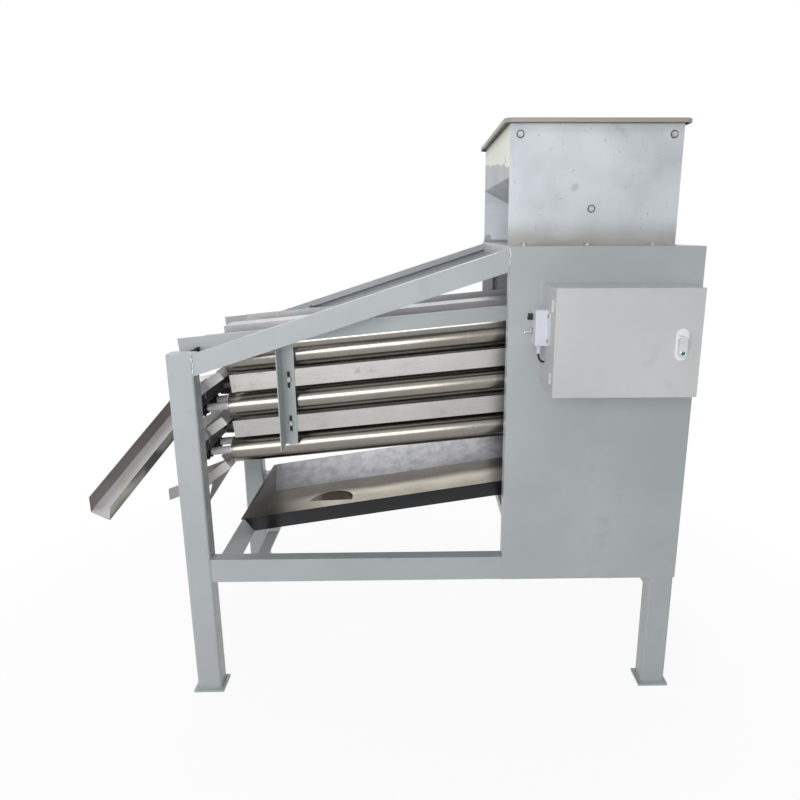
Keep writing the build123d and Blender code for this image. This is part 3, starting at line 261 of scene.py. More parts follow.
# %% Pattern helpers
NOISE_LOW, NOISE_HIGH = 0.3, 0.7
EVEN = (1, 1, 1)


def shade(red, green, blue):
    """A colour as it looks on a screen, 0 to 255, as the light values a shader needs."""
    return [((value / 255 + 0.055) / 1.055) ** 2.4 if value > 10 else value / 255 / 12.92
            for value in (red, green, blue)]


def scaled(colour, factor):
    """A lighter or darker copy of a colour."""
    return [value * factor for value in colour]


def new_finish(name, metallic, roughness, coat=0.0):
    """A material with its plain shader."""
    material = bpy.data.materials.new(name)
    material.use_nodes = True
    shader = material.node_tree.nodes["Principled BSDF"]
    shader.inputs["Metallic"].default_value = metallic
    shader.inputs["Roughness"].default_value = roughness
    shader.inputs["Coat Weight"].default_value = coat
    return material, material.node_tree, shader


def noise(tree, stretch, scale, detail):
    """Cloudy pattern in the piece's own coordinates, stretched along its axes."""
    place = tree.nodes.new("ShaderNodeTexCoord")
    spread = tree.nodes.new("ShaderNodeMapping")
    spread.inputs["Scale"].default_value = stretch
    cloud = tree.nodes.new("ShaderNodeTexNoise")
    cloud.inputs["Scale"].default_value = scale
    cloud.inputs["Detail"].default_value = detail
    tree.links.new(place.outputs["Object"], spread.inputs["Vector"])
    tree.links.new(spread.outputs["Vector"], cloud.inputs["Vector"])
    return cloud.outputs["Fac"]


def ramp(tree, value, stops):
    """Colours along a value, from (place, colour) pairs."""
    node = tree.nodes.new("ShaderNodeValToRGB")
    steps = node.color_ramp.elements
    while len(steps) < len(stops):
        steps.new(1.0)
    for step, (place, colour) in zip(steps, stops):
        step.position = place
        step.color = (*colour, 1)
    tree.links.new(value, node.inputs["Fac"])
    return node.outputs["Color"]


def two_tone(tree, value, dark, light):
    """A noise that runs from a dark colour to a light one."""
    return ramp(tree, value, [(NOISE_LOW, dark), (NOISE_HIGH, light)])


def spread_to(tree, value, low, high):
    """The middle of a noise, stretched to run from low to high."""
    return between(tree, value, low, high, NOISE_LOW, NOISE_HIGH)


def raise_grain(tree, shader, height, strength, distance):
    """Turns a pattern into small heights on the surface."""
    node = tree.nodes.new("ShaderNodeBump")
    node.inputs["Strength"].default_value = strength
    node.inputs["Distance"].default_value = distance
    tree.links.new(height, node.inputs["Height"])
    tree.links.new(node.outputs["Normal"], shader.inputs["Normal"])


print("mid grey as light", [round(value, 3) for value in shade(128, 128, 128)])

# %% [markdown]
# ## Masks and layers
# Dirt, wear and specks lie only on some places of a piece. A mask is a value from 0 to 1 that says
# where: by noise, by the place in the frame, or by the way a face is turned. A second colour is
# then laid over the first one through the mask, as paint is through a stencil.

# %% Mask helpers
MIX_AMOUNT, MIX_UNDER, MIX_OVER, MIX_RESULT = 0, 6, 7, 2
SPECK_EDGE = 0.03


def mask(tree, value, low, high):
    """A soft step from 0 at low to 1 at high."""
    return between(tree, value, 0.0, 1.0, low, high, smooth=True)


def both(tree, first, second):
    """Where two masks meet."""
    return join(tree, "MULTIPLY", first, second)


def layer_over(tree, amount, under, colour):
    """A colour laid over another one where a mask is high."""
    node = tree.nodes.new("ShaderNodeMix")
    node.data_type = "RGBA"
    tree.links.new(amount, node.inputs[MIX_AMOUNT])
    tree.links.new(under, node.inputs[MIX_UNDER])
    node.inputs[MIX_OVER].default_value = (*colour, 1)
    return node.outputs[MIX_RESULT]


def blend_over(tree, amount, under, over):
    """One coloured pattern laid over another where a mask is high."""
    node = tree.nodes.new("ShaderNodeMix")
    node.data_type = "RGBA"
    tree.links.new(amount, node.inputs[MIX_AMOUNT])
    tree.links.new(under, node.inputs[MIX_UNDER])
    tree.links.new(over, node.inputs[MIX_OVER])
    return node.outputs[MIX_RESULT]


def along(tree, axis):
    """The place of a point along one axis of the frame, in metres."""
    place = tree.nodes.new("ShaderNodeTexCoord")
    parts = tree.nodes.new("ShaderNodeSeparateXYZ")
    tree.links.new(place.outputs["Object"], parts.inputs["Vector"])
    return parts.outputs[axis]


def turned_to(tree, axis):
    """How far a face is turned towards one axis of the frame."""
    place = tree.nodes.new("ShaderNodeNewGeometry")
    parts = tree.nodes.new("ShaderNodeSeparateXYZ")
    tree.links.new(place.outputs["True Normal"], parts.inputs["Vector"])
    return parts.outputs[axis]


def specks(tree, scale, least):
    """Small sparse dots, as a mask."""
    return mask(tree, noise(tree, EVEN, scale, 1.0), least, least + SPECK_EDGE)


def sum_of(tree, terms):
    """Sum of values, each with its own weight."""
    total = None
    for value, weight in terms:
        node = tree.nodes.new("ShaderNodeMath")
        node.operation = "MULTIPLY_ADD"
        node.inputs[1].default_value = weight
        node.inputs[2].default_value = 0.0
        tree.links.new(value, node.inputs[0])
        if total is not None:
            tree.links.new(total, node.inputs[2])
        total = node.outputs[0]
    return total


print("colour sockets of a mix", MIX_UNDER, MIX_OVER, MIX_RESULT)

# %% [markdown]
# ## Paint
# The frame and housing wear a light blue-grey gloss paint, the control box a paler powder coat.
# Sprayed paint has a faint orange-peel skin and slow changes of tone from panel to panel. One
# function makes all the paints, because they differ only in colour, gloss and skin.

# %% Paint finishes
LATCH_PLATE_BACK, LATCH_PLATE_EDGE = -193.6, 0.0004
SKIN_HEIGHT = 0.0006


def paint_finish(name, colour, roughness, skin_scale, skin, plate_from=None, gloss=0.5):
    """Sprayed paint with a slow change of tone, a little dust, a few specks and a fine skin.

    Faces in front of plate_from, a place along Y, are the white plate of a latch."""
    material, tree, shader = new_finish(name, 0.0, roughness, 0.3 * gloss)
    shader.inputs["Specular IOR Level"].default_value = gloss
    tone = noise(tree, EVEN, 2.6, 4.0)
    skin_colour = two_tone(tree, tone, scaled(colour, 0.90), scaled(colour, 1.06))
    patches = mask(tree, noise(tree, EVEN, 14.0, 6.0), 0.52, 0.72)
    dust = both(tree, patches, mask(tree, tone, 0.35, 0.65))
    dusty = layer_over(tree, dust, skin_colour, scaled(colour, 0.93))
    spotted = layer_over(tree, specks(tree, 210.0, 0.77), dusty, scaled(colour, 0.80))
    if plate_from is not None:
        plate = mask(tree, along(tree, "Y"), plate_from, plate_from - LATCH_PLATE_EDGE)
        spotted = layer_over(tree, plate, spotted, shade(236, 237, 239))
    tree.links.new(spotted, shader.inputs["Base Color"])
    sheen = noise(tree, EVEN, 40.0, 2.0)
    tree.links.new(spread_to(tree, sheen, roughness - 0.05, roughness + 0.08), shader.inputs["Roughness"])
    raise_grain(tree, shader, noise(tree, EVEN, skin_scale, 2.0), skin, SKIN_HEIGHT)
    return material


FRAME_TONE = shade(173, 179, 181)
BOX_TONE = shade(197, 198, 199)
frame_paint = paint_finish("blue_grey_paint", FRAME_TONE, 0.36, 700.0, 0.06)
box_paint = paint_finish("pale_powder_coat", BOX_TONE, 0.48, 1400.0, 0.12)
door_paint = paint_finish("door_powder_coat", BOX_TONE, 0.48, 1400.0, 0.12, y_at(LATCH_PLATE_BACK))
black_paint = paint_finish("blue_black_bar_paint", shade(22, 25, 38), 0.32, 500.0, 0.10, gloss=0.12)
switch_paint = paint_finish("cool_switch_box_coat", shade(210, 213, 221), 0.42, 1400.0, 0.10)
motor_paint = paint_finish("motor_casting_paint", shade(96, 106, 112), 0.45, 300.0, 0.20)
pale_marks = paint_finish("pale_weld_marks", shade(232, 233, 230), 0.5, 600.0, 0.15)
print("paints", frame_paint.name, box_paint.name, black_paint.name)

# %% [markdown]
# ## Bare metal
# Rolled sheet shows long brush lines and cloudy patches. The lines could be a fine normal map. Here
# they are a noise that is stretched along one axis, so they run the right way on every sheet.

# %% Metal finishes
ALONG_X = (8.0, 900.0, 900.0)
ALONG_Z = (700.0, 700.0, 8.0)
LINE_HEIGHT = 0.0004


def sheet_finish(name, colour, roughness, stretch, patch, metal=1.0, painted_right=None):
    """Rolled sheet with brush lines along one axis, cloudy patches and small dark smudges.

    Where a colour is given for them, faces turned straight to the right are painted with it."""
    material, tree, shader = new_finish(name, metal, roughness)
    cloud = noise(tree, EVEN, 5.0, 5.0)
    tone = two_tone(tree, cloud, scaled(colour, 1 - patch), scaled(colour, 1 + patch / 2))
    smudge = mask(tree, noise(tree, EVEN, 22.0, 6.0), 0.60, 0.78)
    smudged = layer_over(tree, smudge, tone, scaled(colour, 0.72))
    spotted = layer_over(tree, specks(tree, 240.0, 0.74), smudged, scaled(colour, 0.35))
    if painted_right is not None:
        spotted = layer_over(tree, mask(tree, turned_to(tree, "X"), 0.96, 0.99), spotted, painted_right)
    tree.links.new(spotted, shader.inputs["Base Color"])
    lines = noise(tree, stretch, 1.0, 4.0)
    tree.links.new(spread_to(tree, lines, roughness - 0.07, roughness + 0.10), shader.inputs["Roughness"])
    raise_grain(tree, shader, lines, 0.10, LINE_HEIGHT)
    return material


stainless = sheet_finish("rolled_stainless", shade(178, 176, 173), 0.32, ALONG_X, 0.12)
lining_steel = sheet_finish("guard_lining_sheet", shade(168, 168, 171), 0.38, ALONG_X, 0.16, 0.7)
trough_steel = sheet_finish("trough_sheet", shade(244, 243, 241), 0.36, ALONG_Z, 0.12, 0.15,
                            painted_right=shade(26, 29, 38))
short_chute_steel = sheet_finish("short_chute_sheet", shade(164, 161, 159), 0.36, ALONG_Z, 0.12, 0.5)
zinc = sheet_finish("zinc_plate", shade(176, 175, 170), 0.30, (60, 60, 60), 0.12)
bright_zinc = sheet_finish("bright_zinc_bolts", shade(188, 188, 184), 0.30, (60, 60, 60), 0.08, 0.6)
drive_steel = sheet_finish("oiled_drive_steel", shade(96, 94, 92), 0.40, (90, 90, 90), 0.20)
bright_chrome = sheet_finish("polished_chrome", shade(206, 207, 209), 0.12, (40, 40, 40), 0.05)
print("sheet finishes", stainless.name, trough_steel.name, bright_zinc.name)

# %% [markdown]
# ## Hopper sheet
# The hopper is a cloudy, bluish galvanised sheet. It carries small dark dots and fine scratches, and it
# is darker and browner along its lower edge, by a mask by height broken up with noise. The sheet over the
# rollers carries a painted reflection: it is painted bright above a wavy line, by a second mask of that
# kind. The far sheet is painted paler than the near one, painted light where the slope shades it, and its
# darker band is narrower.

# %% Hopper finish
HOPPER_FOOT, DARK_FOOT_TOP, FAR_DARK_FOOT_TOP = 1.484, 1.57, 1.496
HOPPER_HEM, HEM_EDGE = 1.826, 0.0005
REFLECTION_LINE, REFLECTION_EDGE, REFLECTION_RISE, REFLECTION_WAVE = 1.746, 0.004, 0.097, 0.03
# Factor by which the far sheet is painted paler: painted light where the slope shades it.
FAR_PAINTED_LIGHT = 1.25


def hopper_finish(name, metal, gloss, painted_reflection=False, dark_foot_top=DARK_FOOT_TOP, light=1.0):
    """Cloudy galvanised sheet, darker at its foot and browner on its rim.

    When asked, its upper part is painted bright down to a wavy line that rises to the back: a painted
    reflection."""
    material, tree, shader = new_finish(name, metal, 0.48)
    shader.inputs["Specular IOR Level"].default_value = gloss
    cloud = noise(tree, EVEN, 6.0, 8.0)
    sheet = ramp(tree, cloud, [(0.30, scaled(shade(180, 186, 191), light)),
                               (0.50, scaled(shade(194, 199, 204), light)),
                               (0.72, scaled(shade(204, 209, 213), light))])
    height = along(tree, "Z")
    if painted_reflection:
        # Painted reflection: the sheet is painted bright above a wavy line that rises to the back.
        wave = noise(tree, (1, 9, 1), 1.0, 1.0)
        line = sum_of(tree, [(height, 1.0), (along(tree, "Y"), -REFLECTION_RISE), (wave, REFLECTION_WAVE)])
        above = mask(tree, line, REFLECTION_LINE, REFLECTION_LINE + REFLECTION_EDGE)
        sheet = layer_over(tree, above, sheet, shade(246, 248, 240))
    # The sheet is darker and browner towards its foot, in noisy patches.
    low = mask(tree, height, dark_foot_top, HOPPER_FOOT)
    dark_foot = both(tree, low, mask(tree, noise(tree, (1, 1, 3), 5.0, 5.0), -0.10, 0.60))
    smudge = mask(tree, noise(tree, EVEN, 13.0, 3.0), 0.66, 0.74)
    sheet = layer_over(tree, smudge, sheet, shade(176, 180, 183))
    darkened_foot = layer_over(tree, dark_foot, sheet, shade(152, 149, 145))
    scratch = mask(tree, noise(tree, (210.0, 40.0, 9.0), 1.0, 2.0), 0.70, 0.76)
    fine = both(tree, scratch, mask(tree, noise(tree, EVEN, 7.0, 2.0), 0.52, 0.62))
    scratched = layer_over(tree, fine, darkened_foot, shade(140, 143, 146))
    dotted = layer_over(tree, specks(tree, 150.0, 0.765), scratched, shade(112, 115, 118))
    hem = mask(tree, height, HOPPER_HEM - HEM_EDGE, HOPPER_HEM)
    tree.links.new(layer_over(tree, hem, dotted, shade(158, 153, 145)), shader.inputs["Base Color"])
    tree.links.new(spread_to(tree, cloud, 0.36, 0.52), shader.inputs["Roughness"])
    raise_grain(tree, shader, noise(tree, EVEN, 420.0, 2.0), 0.05, LINE_HEIGHT)
    return material


hopper_steel = hopper_finish("cloudy_hopper_sheet", 0.35, 0.5)
painted_light_far_sheet_steel = hopper_finish("far_sheet_painted_light", 0.15, 0.5, dark_foot_top=FAR_DARK_FOOT_TOP, light=FAR_PAINTED_LIGHT)
slope_steel = hopper_finish("dull_slope_sheet", 0.15, 0.1)
painted_reflection_slope_steel = hopper_finish("painted_reflection_slope_sheet", 0.15, 0.1, painted_reflection=True)
print("hopper grime from", HOPPER_FOOT, "to", DARK_FOOT_TOP, "m")

# %% [markdown]
# ## Tray and chute sheet
# The tray's floor is stained brown by the nuts and darkened by painted shade towards its far side, and it
# carries a painted highlight along its near edge. Its far wall is mottled and bluer, and its end wall is
# duller. Painted shade darkens the inside of its outlet collar and its outer faces. A chute has a bright
# floor, a dull inner wall and an outer face with painted reflections in blurred patches. The faces could
# be given materials one by one, but each finish tells them apart by the way they are turned.

# %% Tray and chute finishes
HIGHLIGHT_DEPTH, HIGHLIGHT_LENGTH = (455.0, 385.0), (-820.0, -560.0)
COLLAR_DEPTH = (430.0, 420.0)


def brush(tree, shader, low, high):
    """Brush lines that vary the gloss and stand up a little."""
    lines = noise(tree, ALONG_X, 1.0, 4.0)
    tree.links.new(spread_to(tree, lines, low, high), shader.inputs["Roughness"])
    raise_grain(tree, shader, lines, 0.08, LINE_HEIGHT)


def tray_finish():
    """Brown floor with painted shade at its far side and a painted highlight along its near edge, mottled
    far wall, dull end wall, and painted shade in the outlet collar and on the outer faces.
    """
    material, tree, shader = new_finish("shaded_stain_tray_sheet", 0.8, 0.30)
    cloud = noise(tree, EVEN, 7.0, 6.0)
    # The floor is a brown stain darkened by painted shade, with a painted highlight along its near edge.
    stain_and_shade = two_tone(tree, cloud, shade(58, 50, 41), shade(82, 73, 62))
    near_highlight = two_tone(tree, cloud, shade(184, 176, 161), shade(220, 213, 199))
    depth = sum_of(tree, [(along(tree, "Y"), 1.0), (cloud, 0.06)])
    near_edge = both(tree, mask(tree, depth, *[y_at(y) for y in HIGHLIGHT_DEPTH]),
                     mask(tree, along(tree, "X"), *[x_at(x) for x in HIGHLIGHT_LENGTH]))
    floor_tone = blend_over(tree, near_edge, stain_and_shade, near_highlight)
    streaks = noise(tree, (30.0, 30.0, 9.0), 1.0, 7.0)
    wall = ramp(tree, streaks, [(0.30, shade(130, 131, 136)), (0.62, shade(156, 156, 160))])
    # Painted shade: the inside of the outlet collar, nearer than the far wall, is painted dark brown.
    collar = mask(tree, along(tree, "Y"), *[y_at(y) for y in COLLAR_DEPTH])
    wall = layer_over(tree, collar, wall, shade(78, 70, 61))
    tone = blend_over(tree, mask(tree, turned_to(tree, "Y"), -0.15, -0.35), floor_tone, wall)
    tone = layer_over(tree, mask(tree, turned_to(tree, "X"), 0.40, 0.70), tone, shade(116, 115, 109))
    # Painted shade: faces turned down, the outer walls and the floor's underside, are painted nearly
    # black.
    outer = mask(tree, turned_to(tree, "Z"), -0.05, -0.20)
    tree.links.new(layer_over(tree, outer, tone, shade(46, 47, 50)), shader.inputs["Base Color"])
    brush(tree, shader, 0.28, 0.44)
    return material


def chute_finish():
    """Bright floor, dull inner wall, and an outer wall with painted reflections in blurred dark and
    bright patches.
    """
    material, tree, shader = new_finish("chute_stainless", 0.35, 0.40)
    cloud = noise(tree, EVEN, 9.0, 4.0)
    inner = two_tone(tree, cloud, shade(118, 112, 108), shade(134, 128, 124))
    floor_tone = two_tone(tree, cloud, shade(184, 180, 182), shade(198, 195, 197))
    # Painted reflections: faces turned down get blurred dark and bright patches.
    reflection_blur = noise(tree, (7.0, 7.0, 7.0), 1.0, 1.0)
    patches = ramp(tree, reflection_blur, [(0.46, shade(104, 105, 98)), (0.62, shade(206, 204, 196))])
    tone = blend_over(tree, mask(tree, turned_to(tree, "Z"), 0.25, 0.55), inner, floor_tone)
    tone = blend_over(tree, mask(tree, turned_to(tree, "Z"), -0.12, -0.24), tone, patches)
    tree.links.new(tone, shader.inputs["Base Color"])
    brush(tree, shader, 0.36, 0.50)
    return material


tray_steel = tray_finish()
chute_steel = chute_finish()
print("finishes", tray_steel.name, chute_steel.name)

# %% [markdown]
# ## Roller steel
# The rollers are turned tubes of a warm, rather dark steel that shows a bright line only where a lamp is
# mirrored. Faint rings run round them. Their ground journals are painted near-white and made much less
# metallic, a painted highlight, which the same finish places by the position along the roller.

# %% Roller finish
ROLLER_END = -898.0
JOURNAL_EDGE = (ROLLER_END + 1, ROLLER_END - 3)
JOURNAL_HIGHLIGHT_METAL = 0.25


def roller_finish():
    """Turned steel tube whose ground journals, beyond its lower end, are painted near-white as a painted
    highlight.
    """
    material, tree, shader = new_finish("turned_roller", 1.0, 0.26)
    rings = noise(tree, (160.0, 1.0, 1.0), 1.0, 5.0)
    cloud = noise(tree, (3.0, 9.0, 9.0), 1.0, 4.0)
    warm = shade(136, 132, 126)
    tone = two_tone(tree, cloud, scaled(warm, 0.84), scaled(warm, 1.12))
    ringed = layer_over(tree, mask(tree, rings, 0.50, 0.72), tone, scaled(warm, 0.90))
    # Painted highlight: the ground journals are painted near-white and made less metallic.
    journal = mask(tree, along(tree, "X"), *[x_at(x) for x in JOURNAL_EDGE])
    tree.links.new(layer_over(tree, journal, ringed, shade(246, 247, 250)), shader.inputs["Base Color"])
    tree.links.new(between(tree, journal, 1.0, JOURNAL_HIGHLIGHT_METAL), shader.inputs["Metallic"])
    tree.links.new(spread_to(tree, rings, 0.20, 0.28), shader.inputs["Roughness"])
    raise_grain(tree, shader, rings, 0.03, 0.0002)
    return material


roller_steel = roller_finish()
print("journals start at", round(x_at(ROLLER_END), 4), "m")

# %% [markdown]
# ## Plastic and rubber
# The knob is satin black plastic and the lead is matt rubber. The inverter inside the control box
# has a grey case with a dark display. A fine grain keeps them from looking like paint.

# %% Plastic finishes


def moulded_finish(name, colour, roughness, grain_scale):
    """Moulded plastic or rubber with a fine grain."""
    material, tree, shader = new_finish(name, 0.0, roughness)
    cloud = noise(tree, EVEN, 60.0, 3.0)
    tone = two_tone(tree, cloud, scaled(colour, 0.85), scaled(colour, 1.15))
    tree.links.new(tone, shader.inputs["Base Color"])
    raise_grain(tree, shader, noise(tree, EVEN, grain_scale, 2.0), 0.15, 0.0003)
    return material


black_plastic = moulded_finish("satin_black_plastic", shade(28, 28, 30), 0.45, 1800.0)
# A dark grey for the rings round washers: painted shadow.
painted_shadow_grey = moulded_finish("painted_shadow_grey", shade(72, 70, 67), 0.5, 900.0)
black_rubber = moulded_finish("matt_black_rubber", shade(24, 24, 25), 0.65, 1500.0)
inverter_plastic = moulded_finish("grey_inverter_case", shade(88, 92, 96), 0.5, 1200.0)
display_glass = moulded_finish("dark_display", shade(40, 18, 18), 0.12, 300.0)
print("moulded finishes", black_plastic.name, black_rubber.name)

# %% [markdown]
# ## Handle and lock
# The handle is polished, and the round lock in its lower end has a blue-green plastic face with a dark
# key slot. The lock is the foremost point of the machine, so its face is a change of finish on the
# handle itself, by the distance from the lock's middle, and not a disc laid on it.

# %% Handle finish
LOCK = (444.5, -208.0, 1203.5)
LOCK_FACE, KEY_SLOT, LOCK_EDGE = 0.0054, 0.0014, 0.0002
LOCK_FRONT = (0.0006, 0.0003)


def handle_finish():
    """Polished handle whose lock has a coloured face."""
    material, tree, shader = new_finish("polished_handle", 1.0, 0.14)
    steel = shade(206, 207, 209)
    tone = two_tone(tree, noise(tree, EVEN, 40.0, 4.0), scaled(steel, 0.94), scaled(steel, 1.03))
    middle = at(*LOCK)
    away = distance_from(tree, middle, (1, 0, 1))
    front = mask(tree, along(tree, "Y"), *[middle.y + depth for depth in LOCK_FRONT])
    face = both(tree, front, mask(tree, away, LOCK_FACE + LOCK_EDGE, LOCK_FACE))
    slot = both(tree, front, mask(tree, away, KEY_SLOT + LOCK_EDGE, KEY_SLOT))
    tone = layer_over(tree, face, tone, shade(44, 116, 128))
    tree.links.new(layer_over(tree, slot, tone, shade(16, 32, 38)), shader.inputs["Base Color"])
    tree.links.new(between(tree, face, 1.0, 0.0), shader.inputs["Metallic"])
    return material


handle_chrome = handle_finish()
print("lock face radius", LOCK_FACE, "m")

# %% [markdown]
# ## Dressing the solid nodes
# Each node keeps its shape and place and only gets a better finish in its material slots. Faces could
# be dressed one by one, but most nodes are one metal or paint, so one finish for each is enough.

# %% Finishes of the nodes
DRESS = {
    frame_paint: ["near_left_leg", "far_left_leg", "near_right_leg", "far_right_leg", "foot_plates",
                  "near_lower_rail", "far_lower_rail", "near_sloped_rail", "far_sloped_rail",
                  "housing_posts", "right_cross_beam", "housing_near_panel", "housing_far_panel",
                  "housing_end_panel", "housing_top_plate", "housing_front_band", "guard_straps",
                  "tray_supports", "side_guards"],
    hopper_steel: ["hopper_near_plate", "hopper_rim"],
    painted_light_far_sheet_steel: ["hopper_far_plate"],
    painted_reflection_slope_steel: ["hopper_left_slope"],
    slope_steel: ["hopper_right_slope"],
    black_paint: ["bearing_bars", "lower_bearing_blocks", "upper_bearing_blocks"],
    roller_steel: [f"{layer}_roller_{place + 1}" for layer in LAYERS for place in range(len(ROLLER_Y))],
    stainless: ["skirt_plates"],
    lining_steel: ["guard_linings", "centre_ridges"],
    trough_steel: ["discharge_troughs"],
    chute_steel: ["top_chute"],
    short_chute_steel: ["middle_chute", "bottom_chute"],
    tray_steel: ["collecting_tray"],
    box_paint: ["control_box", "hinge_pins"],
    switch_paint: ["switch_box"],
    door_paint: ["control_door"],
    bright_zinc: ["hex_bolts"],
    handle_chrome: ["door_handle"],
    bright_chrome: ["switch_lever"],
    black_plastic: ["speed_knob"],
    inverter_plastic: ["speed_inverter"],
    black_rubber: ["switch_lead"],
    motor_paint: ["gear_motor"],
    drive_steel: ["drive_sprocket", "drive_chains"],
}
for finish, names in DRESS.items():
    for name in names:
        nodes[name].data.materials.clear()
        nodes[name].data.materials.append(finish)
print("dressed", sum(len(names) for names in DRESS.values()), "of", len(nodes))

# %% [markdown]
# ## Small fittings
# Each fitting is a small mesh made with bmesh operators, with its place in its mesh. It rides on the body
# that carries it and takes the finish it is given.

# %% Fitting helpers
MM = 0.001


def make_piece(shape, name, finish, body, smooth):
    """Turns a finished bmesh into an object that rides on a body."""
    bmesh.ops.recalc_face_normals(shape, faces=shape.faces)
    mesh = bpy.data.meshes.new(name)
    shape.to_mesh(mesh)
    shape.free()
    mesh.polygons.foreach_set("use_smooth", [smooth] * len(mesh.polygons))
    mesh.materials.append(finish)
    piece = bpy.data.objects.new(name, mesh)
    bpy.context.scene.collection.objects.link(piece)
    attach(piece, body)
    print(name, len(mesh.polygons), "faces")


def round_edges(shape, edges, width, segments=2):
    """Bevels edges by a width in metres."""
    bmesh.ops.bevel(shape, geom=edges, offset=width, offset_type="OFFSET", segments=segments,
                    profile=0.5, affect="EDGES", material=-1)


def edges_at(corners):
    """The edges that meet at some corners, each of them once."""
    return list(dict.fromkeys(edge for corner in corners for edge in corner.link_edges))


print("one millimetre is", MM, "m")

# %% [markdown]
# ## Weld beads
# The rails are welded to the legs and to the housing posts, and the legs to their foot plates. A bead
# could be one bumpy tube. A row of overlapping drops of slightly different sizes is simpler and
# looks laid by hand, and it is painted with the frame.

# %% Weld beads
LEG_EDGE, RAIL_LOW, RAIL_HIGH, RAIL_WIDE = -947.0, 410.0, 490.0, 40.0
SLOPE_LOW, SLOPE_HIGH, SLOPE_FACE = 1167.0, 1475.0, 66.3
FOOT_TOP, LEG_LONG, LEG_WIDE = 8.0, 80.0, 60.0
LEG_X, LEG_Y = (-1027.0, 492.0), (0.0, DEPTH - LEG_WIDE)
BEAD, DROP_STEP, DROP_SIZES = 3.2, 1.1, (0.8, 1.1)


def add_weld(shape, draw, start, end):
    """Bead of overlapping drops along a seam, in millimetres."""
    start, end = Vector(start), Vector(end)
    count = max(2, int((end - start).length / (BEAD * DROP_STEP)))
    for step in range(count + 1):
        point = start.lerp(end, step / count)
        size = BEAD * draw.uniform(*DROP_SIZES)
        bmesh.ops.create_icosphere(shape, subdivisions=1, radius=size * MM,
                                   matrix=Matrix.Translation(at(*point)))


welds = bmesh.new()
draw = Random(11)
for side in (0.0, DEPTH):
    inner = RAIL_WIDE if side == 0.0 else DEPTH - RAIL_WIDE
    add_weld(welds, draw, (LEG_EDGE, side, RAIL_LOW), (LEG_EDGE, side, RAIL_HIGH))
    add_weld(welds, draw, (LEG_EDGE, side, RAIL_HIGH), (LEG_EDGE, inner, RAIL_HIGH))
    add_weld(welds, draw, (LEG_EDGE, side, SLOPE_LOW - SLOPE_FACE), (LEG_EDGE, side, SLOPE_LOW))
    add_weld(welds, draw, (0, side, SLOPE_HIGH - SLOPE_FACE), (0, side, SLOPE_HIGH))
for leg_x in LEG_X:
    for leg_y in LEG_Y:
        corners = [(leg_x, leg_y), (leg_x + LEG_LONG, leg_y), (leg_x + LEG_LONG, leg_y + LEG_WIDE),
                   (leg_x, leg_y + LEG_WIDE)]
        for k in range(4):
            add_weld(welds, draw, (*corners[k], FOOT_TOP), (*corners[(k + 1) % 4], FOOT_TOP))
make_piece(welds, "frame_weld_beads", frame_paint, "frame", True)

# %% [markdown]
# ## Paint chips
# Here and there the paint has chipped off a bead. The chips could be a mask in the paint's finish,
# but flat drops of a pale tone are easier to put on just these places.

# %% Paint chips
LEG_CHIPS = [(-947.0, -2.4, 1108.0), (-945.5, -2.4, 1128.0), (-948.0, -2.4, 1146.0)]
HOUSING_CHIPS = [(0.5, -2.6, 1430.0), (3.0, -2.6, 1452.0), (1.0, -2.6, 1462.0)]
CHIP_DROPS, CHIP_STEP, CHIP_DRIFT = 5, 3.2, 2.2
CHIP_RADIUS, CHIP_FLAT, CHIP_WIDE, CHIP_TALL = 1.6, 0.35, (0.8, 1.5), (1.2, 2.4)

chips = bmesh.new()
for x, y, z in LEG_CHIPS + HOUSING_CHIPS:
    for step in range(CHIP_DROPS):
        spot = at(x + draw.uniform(-CHIP_DRIFT, CHIP_DRIFT), y, z + CHIP_STEP * step)
        stretch = Matrix.Diagonal((draw.uniform(*CHIP_WIDE), CHIP_FLAT, draw.uniform(*CHIP_TALL), 1))
        bmesh.ops.create_icosphere(chips, subdivisions=1, radius=CHIP_RADIUS * MM,
                                   matrix=Matrix.Translation(spot) @ stretch)
make_piece(chips, "paint_chips", pale_marks, "frame", True)

# %% [markdown]
# ## Bearing fittings
# Every bearing block is held under its bar by two bolts and grips its journal with a dark collar on
# the side that faces the rollers. A bolt is a six-sided prism on a round washer, with its top rim
# rounded. A collar is a four-sided profile turned once round the roller's axis.

# %% Bolts and collars
LOWER_BLOCK, UPPER_BLOCK, BLOCK_HALF = -1003.0, 370.0, 17.0
BAR_TOP, BOLT_SPAN, BOLT_WIDTH = 33.0, 38.0, 13.0
COLLAR_GAP, COLLAR_INNER, COLLAR_OUTER, COLLAR_LONG = 3.0, 13.6, 19.0, 7.0
# Shares of a bolt's width across its flats
WASHER_THICK, WASHER_RADIUS, HEAD_HIGH, HEAD_RADIUS, HEAD_ROUND = 0.12, 0.68, 0.45, 0.577, 0.06


def facing(place, direction):
    """A place whose z axis points along a direction."""
    return Matrix.Translation(place) @ Vector(direction).to_track_quat("Z", "Y").to_matrix().to_4x4()


def add_bolt(shape, place, direction, width):
    """Hexagon head on a washer, standing on a surface, in millimetres."""
    stand = facing(place, direction)
    thick, height = WASHER_THICK * width, HEAD_HIGH * width
    wide = WASHER_RADIUS * width * MM
    bmesh.ops.create_cone(shape, cap_ends=True, segments=20, radius1=wide, radius2=wide, depth=thick * MM,
                          matrix=stand @ Matrix.Translation((0, 0, thick / 2 * MM)))
    corner = HEAD_RADIUS * width * MM
    middle = Matrix.Translation((0, 0, (thick + height / 2) * MM))
    head = bmesh.ops.create_cone(shape, cap_ends=True, segments=6, radius1=corner, radius2=corner,
                                 depth=height * MM, matrix=stand @ middle)["verts"]
    flat = stand.inverted()
    top = max((flat @ vert.co).z for vert in head)
    rim = [edge for edge in edges_at(head)
           if all(abs((flat @ vert.co).z - top) < 1e-6 for vert in edge.verts)]
    round_edges(shape, rim, HEAD_ROUND * width * MM)


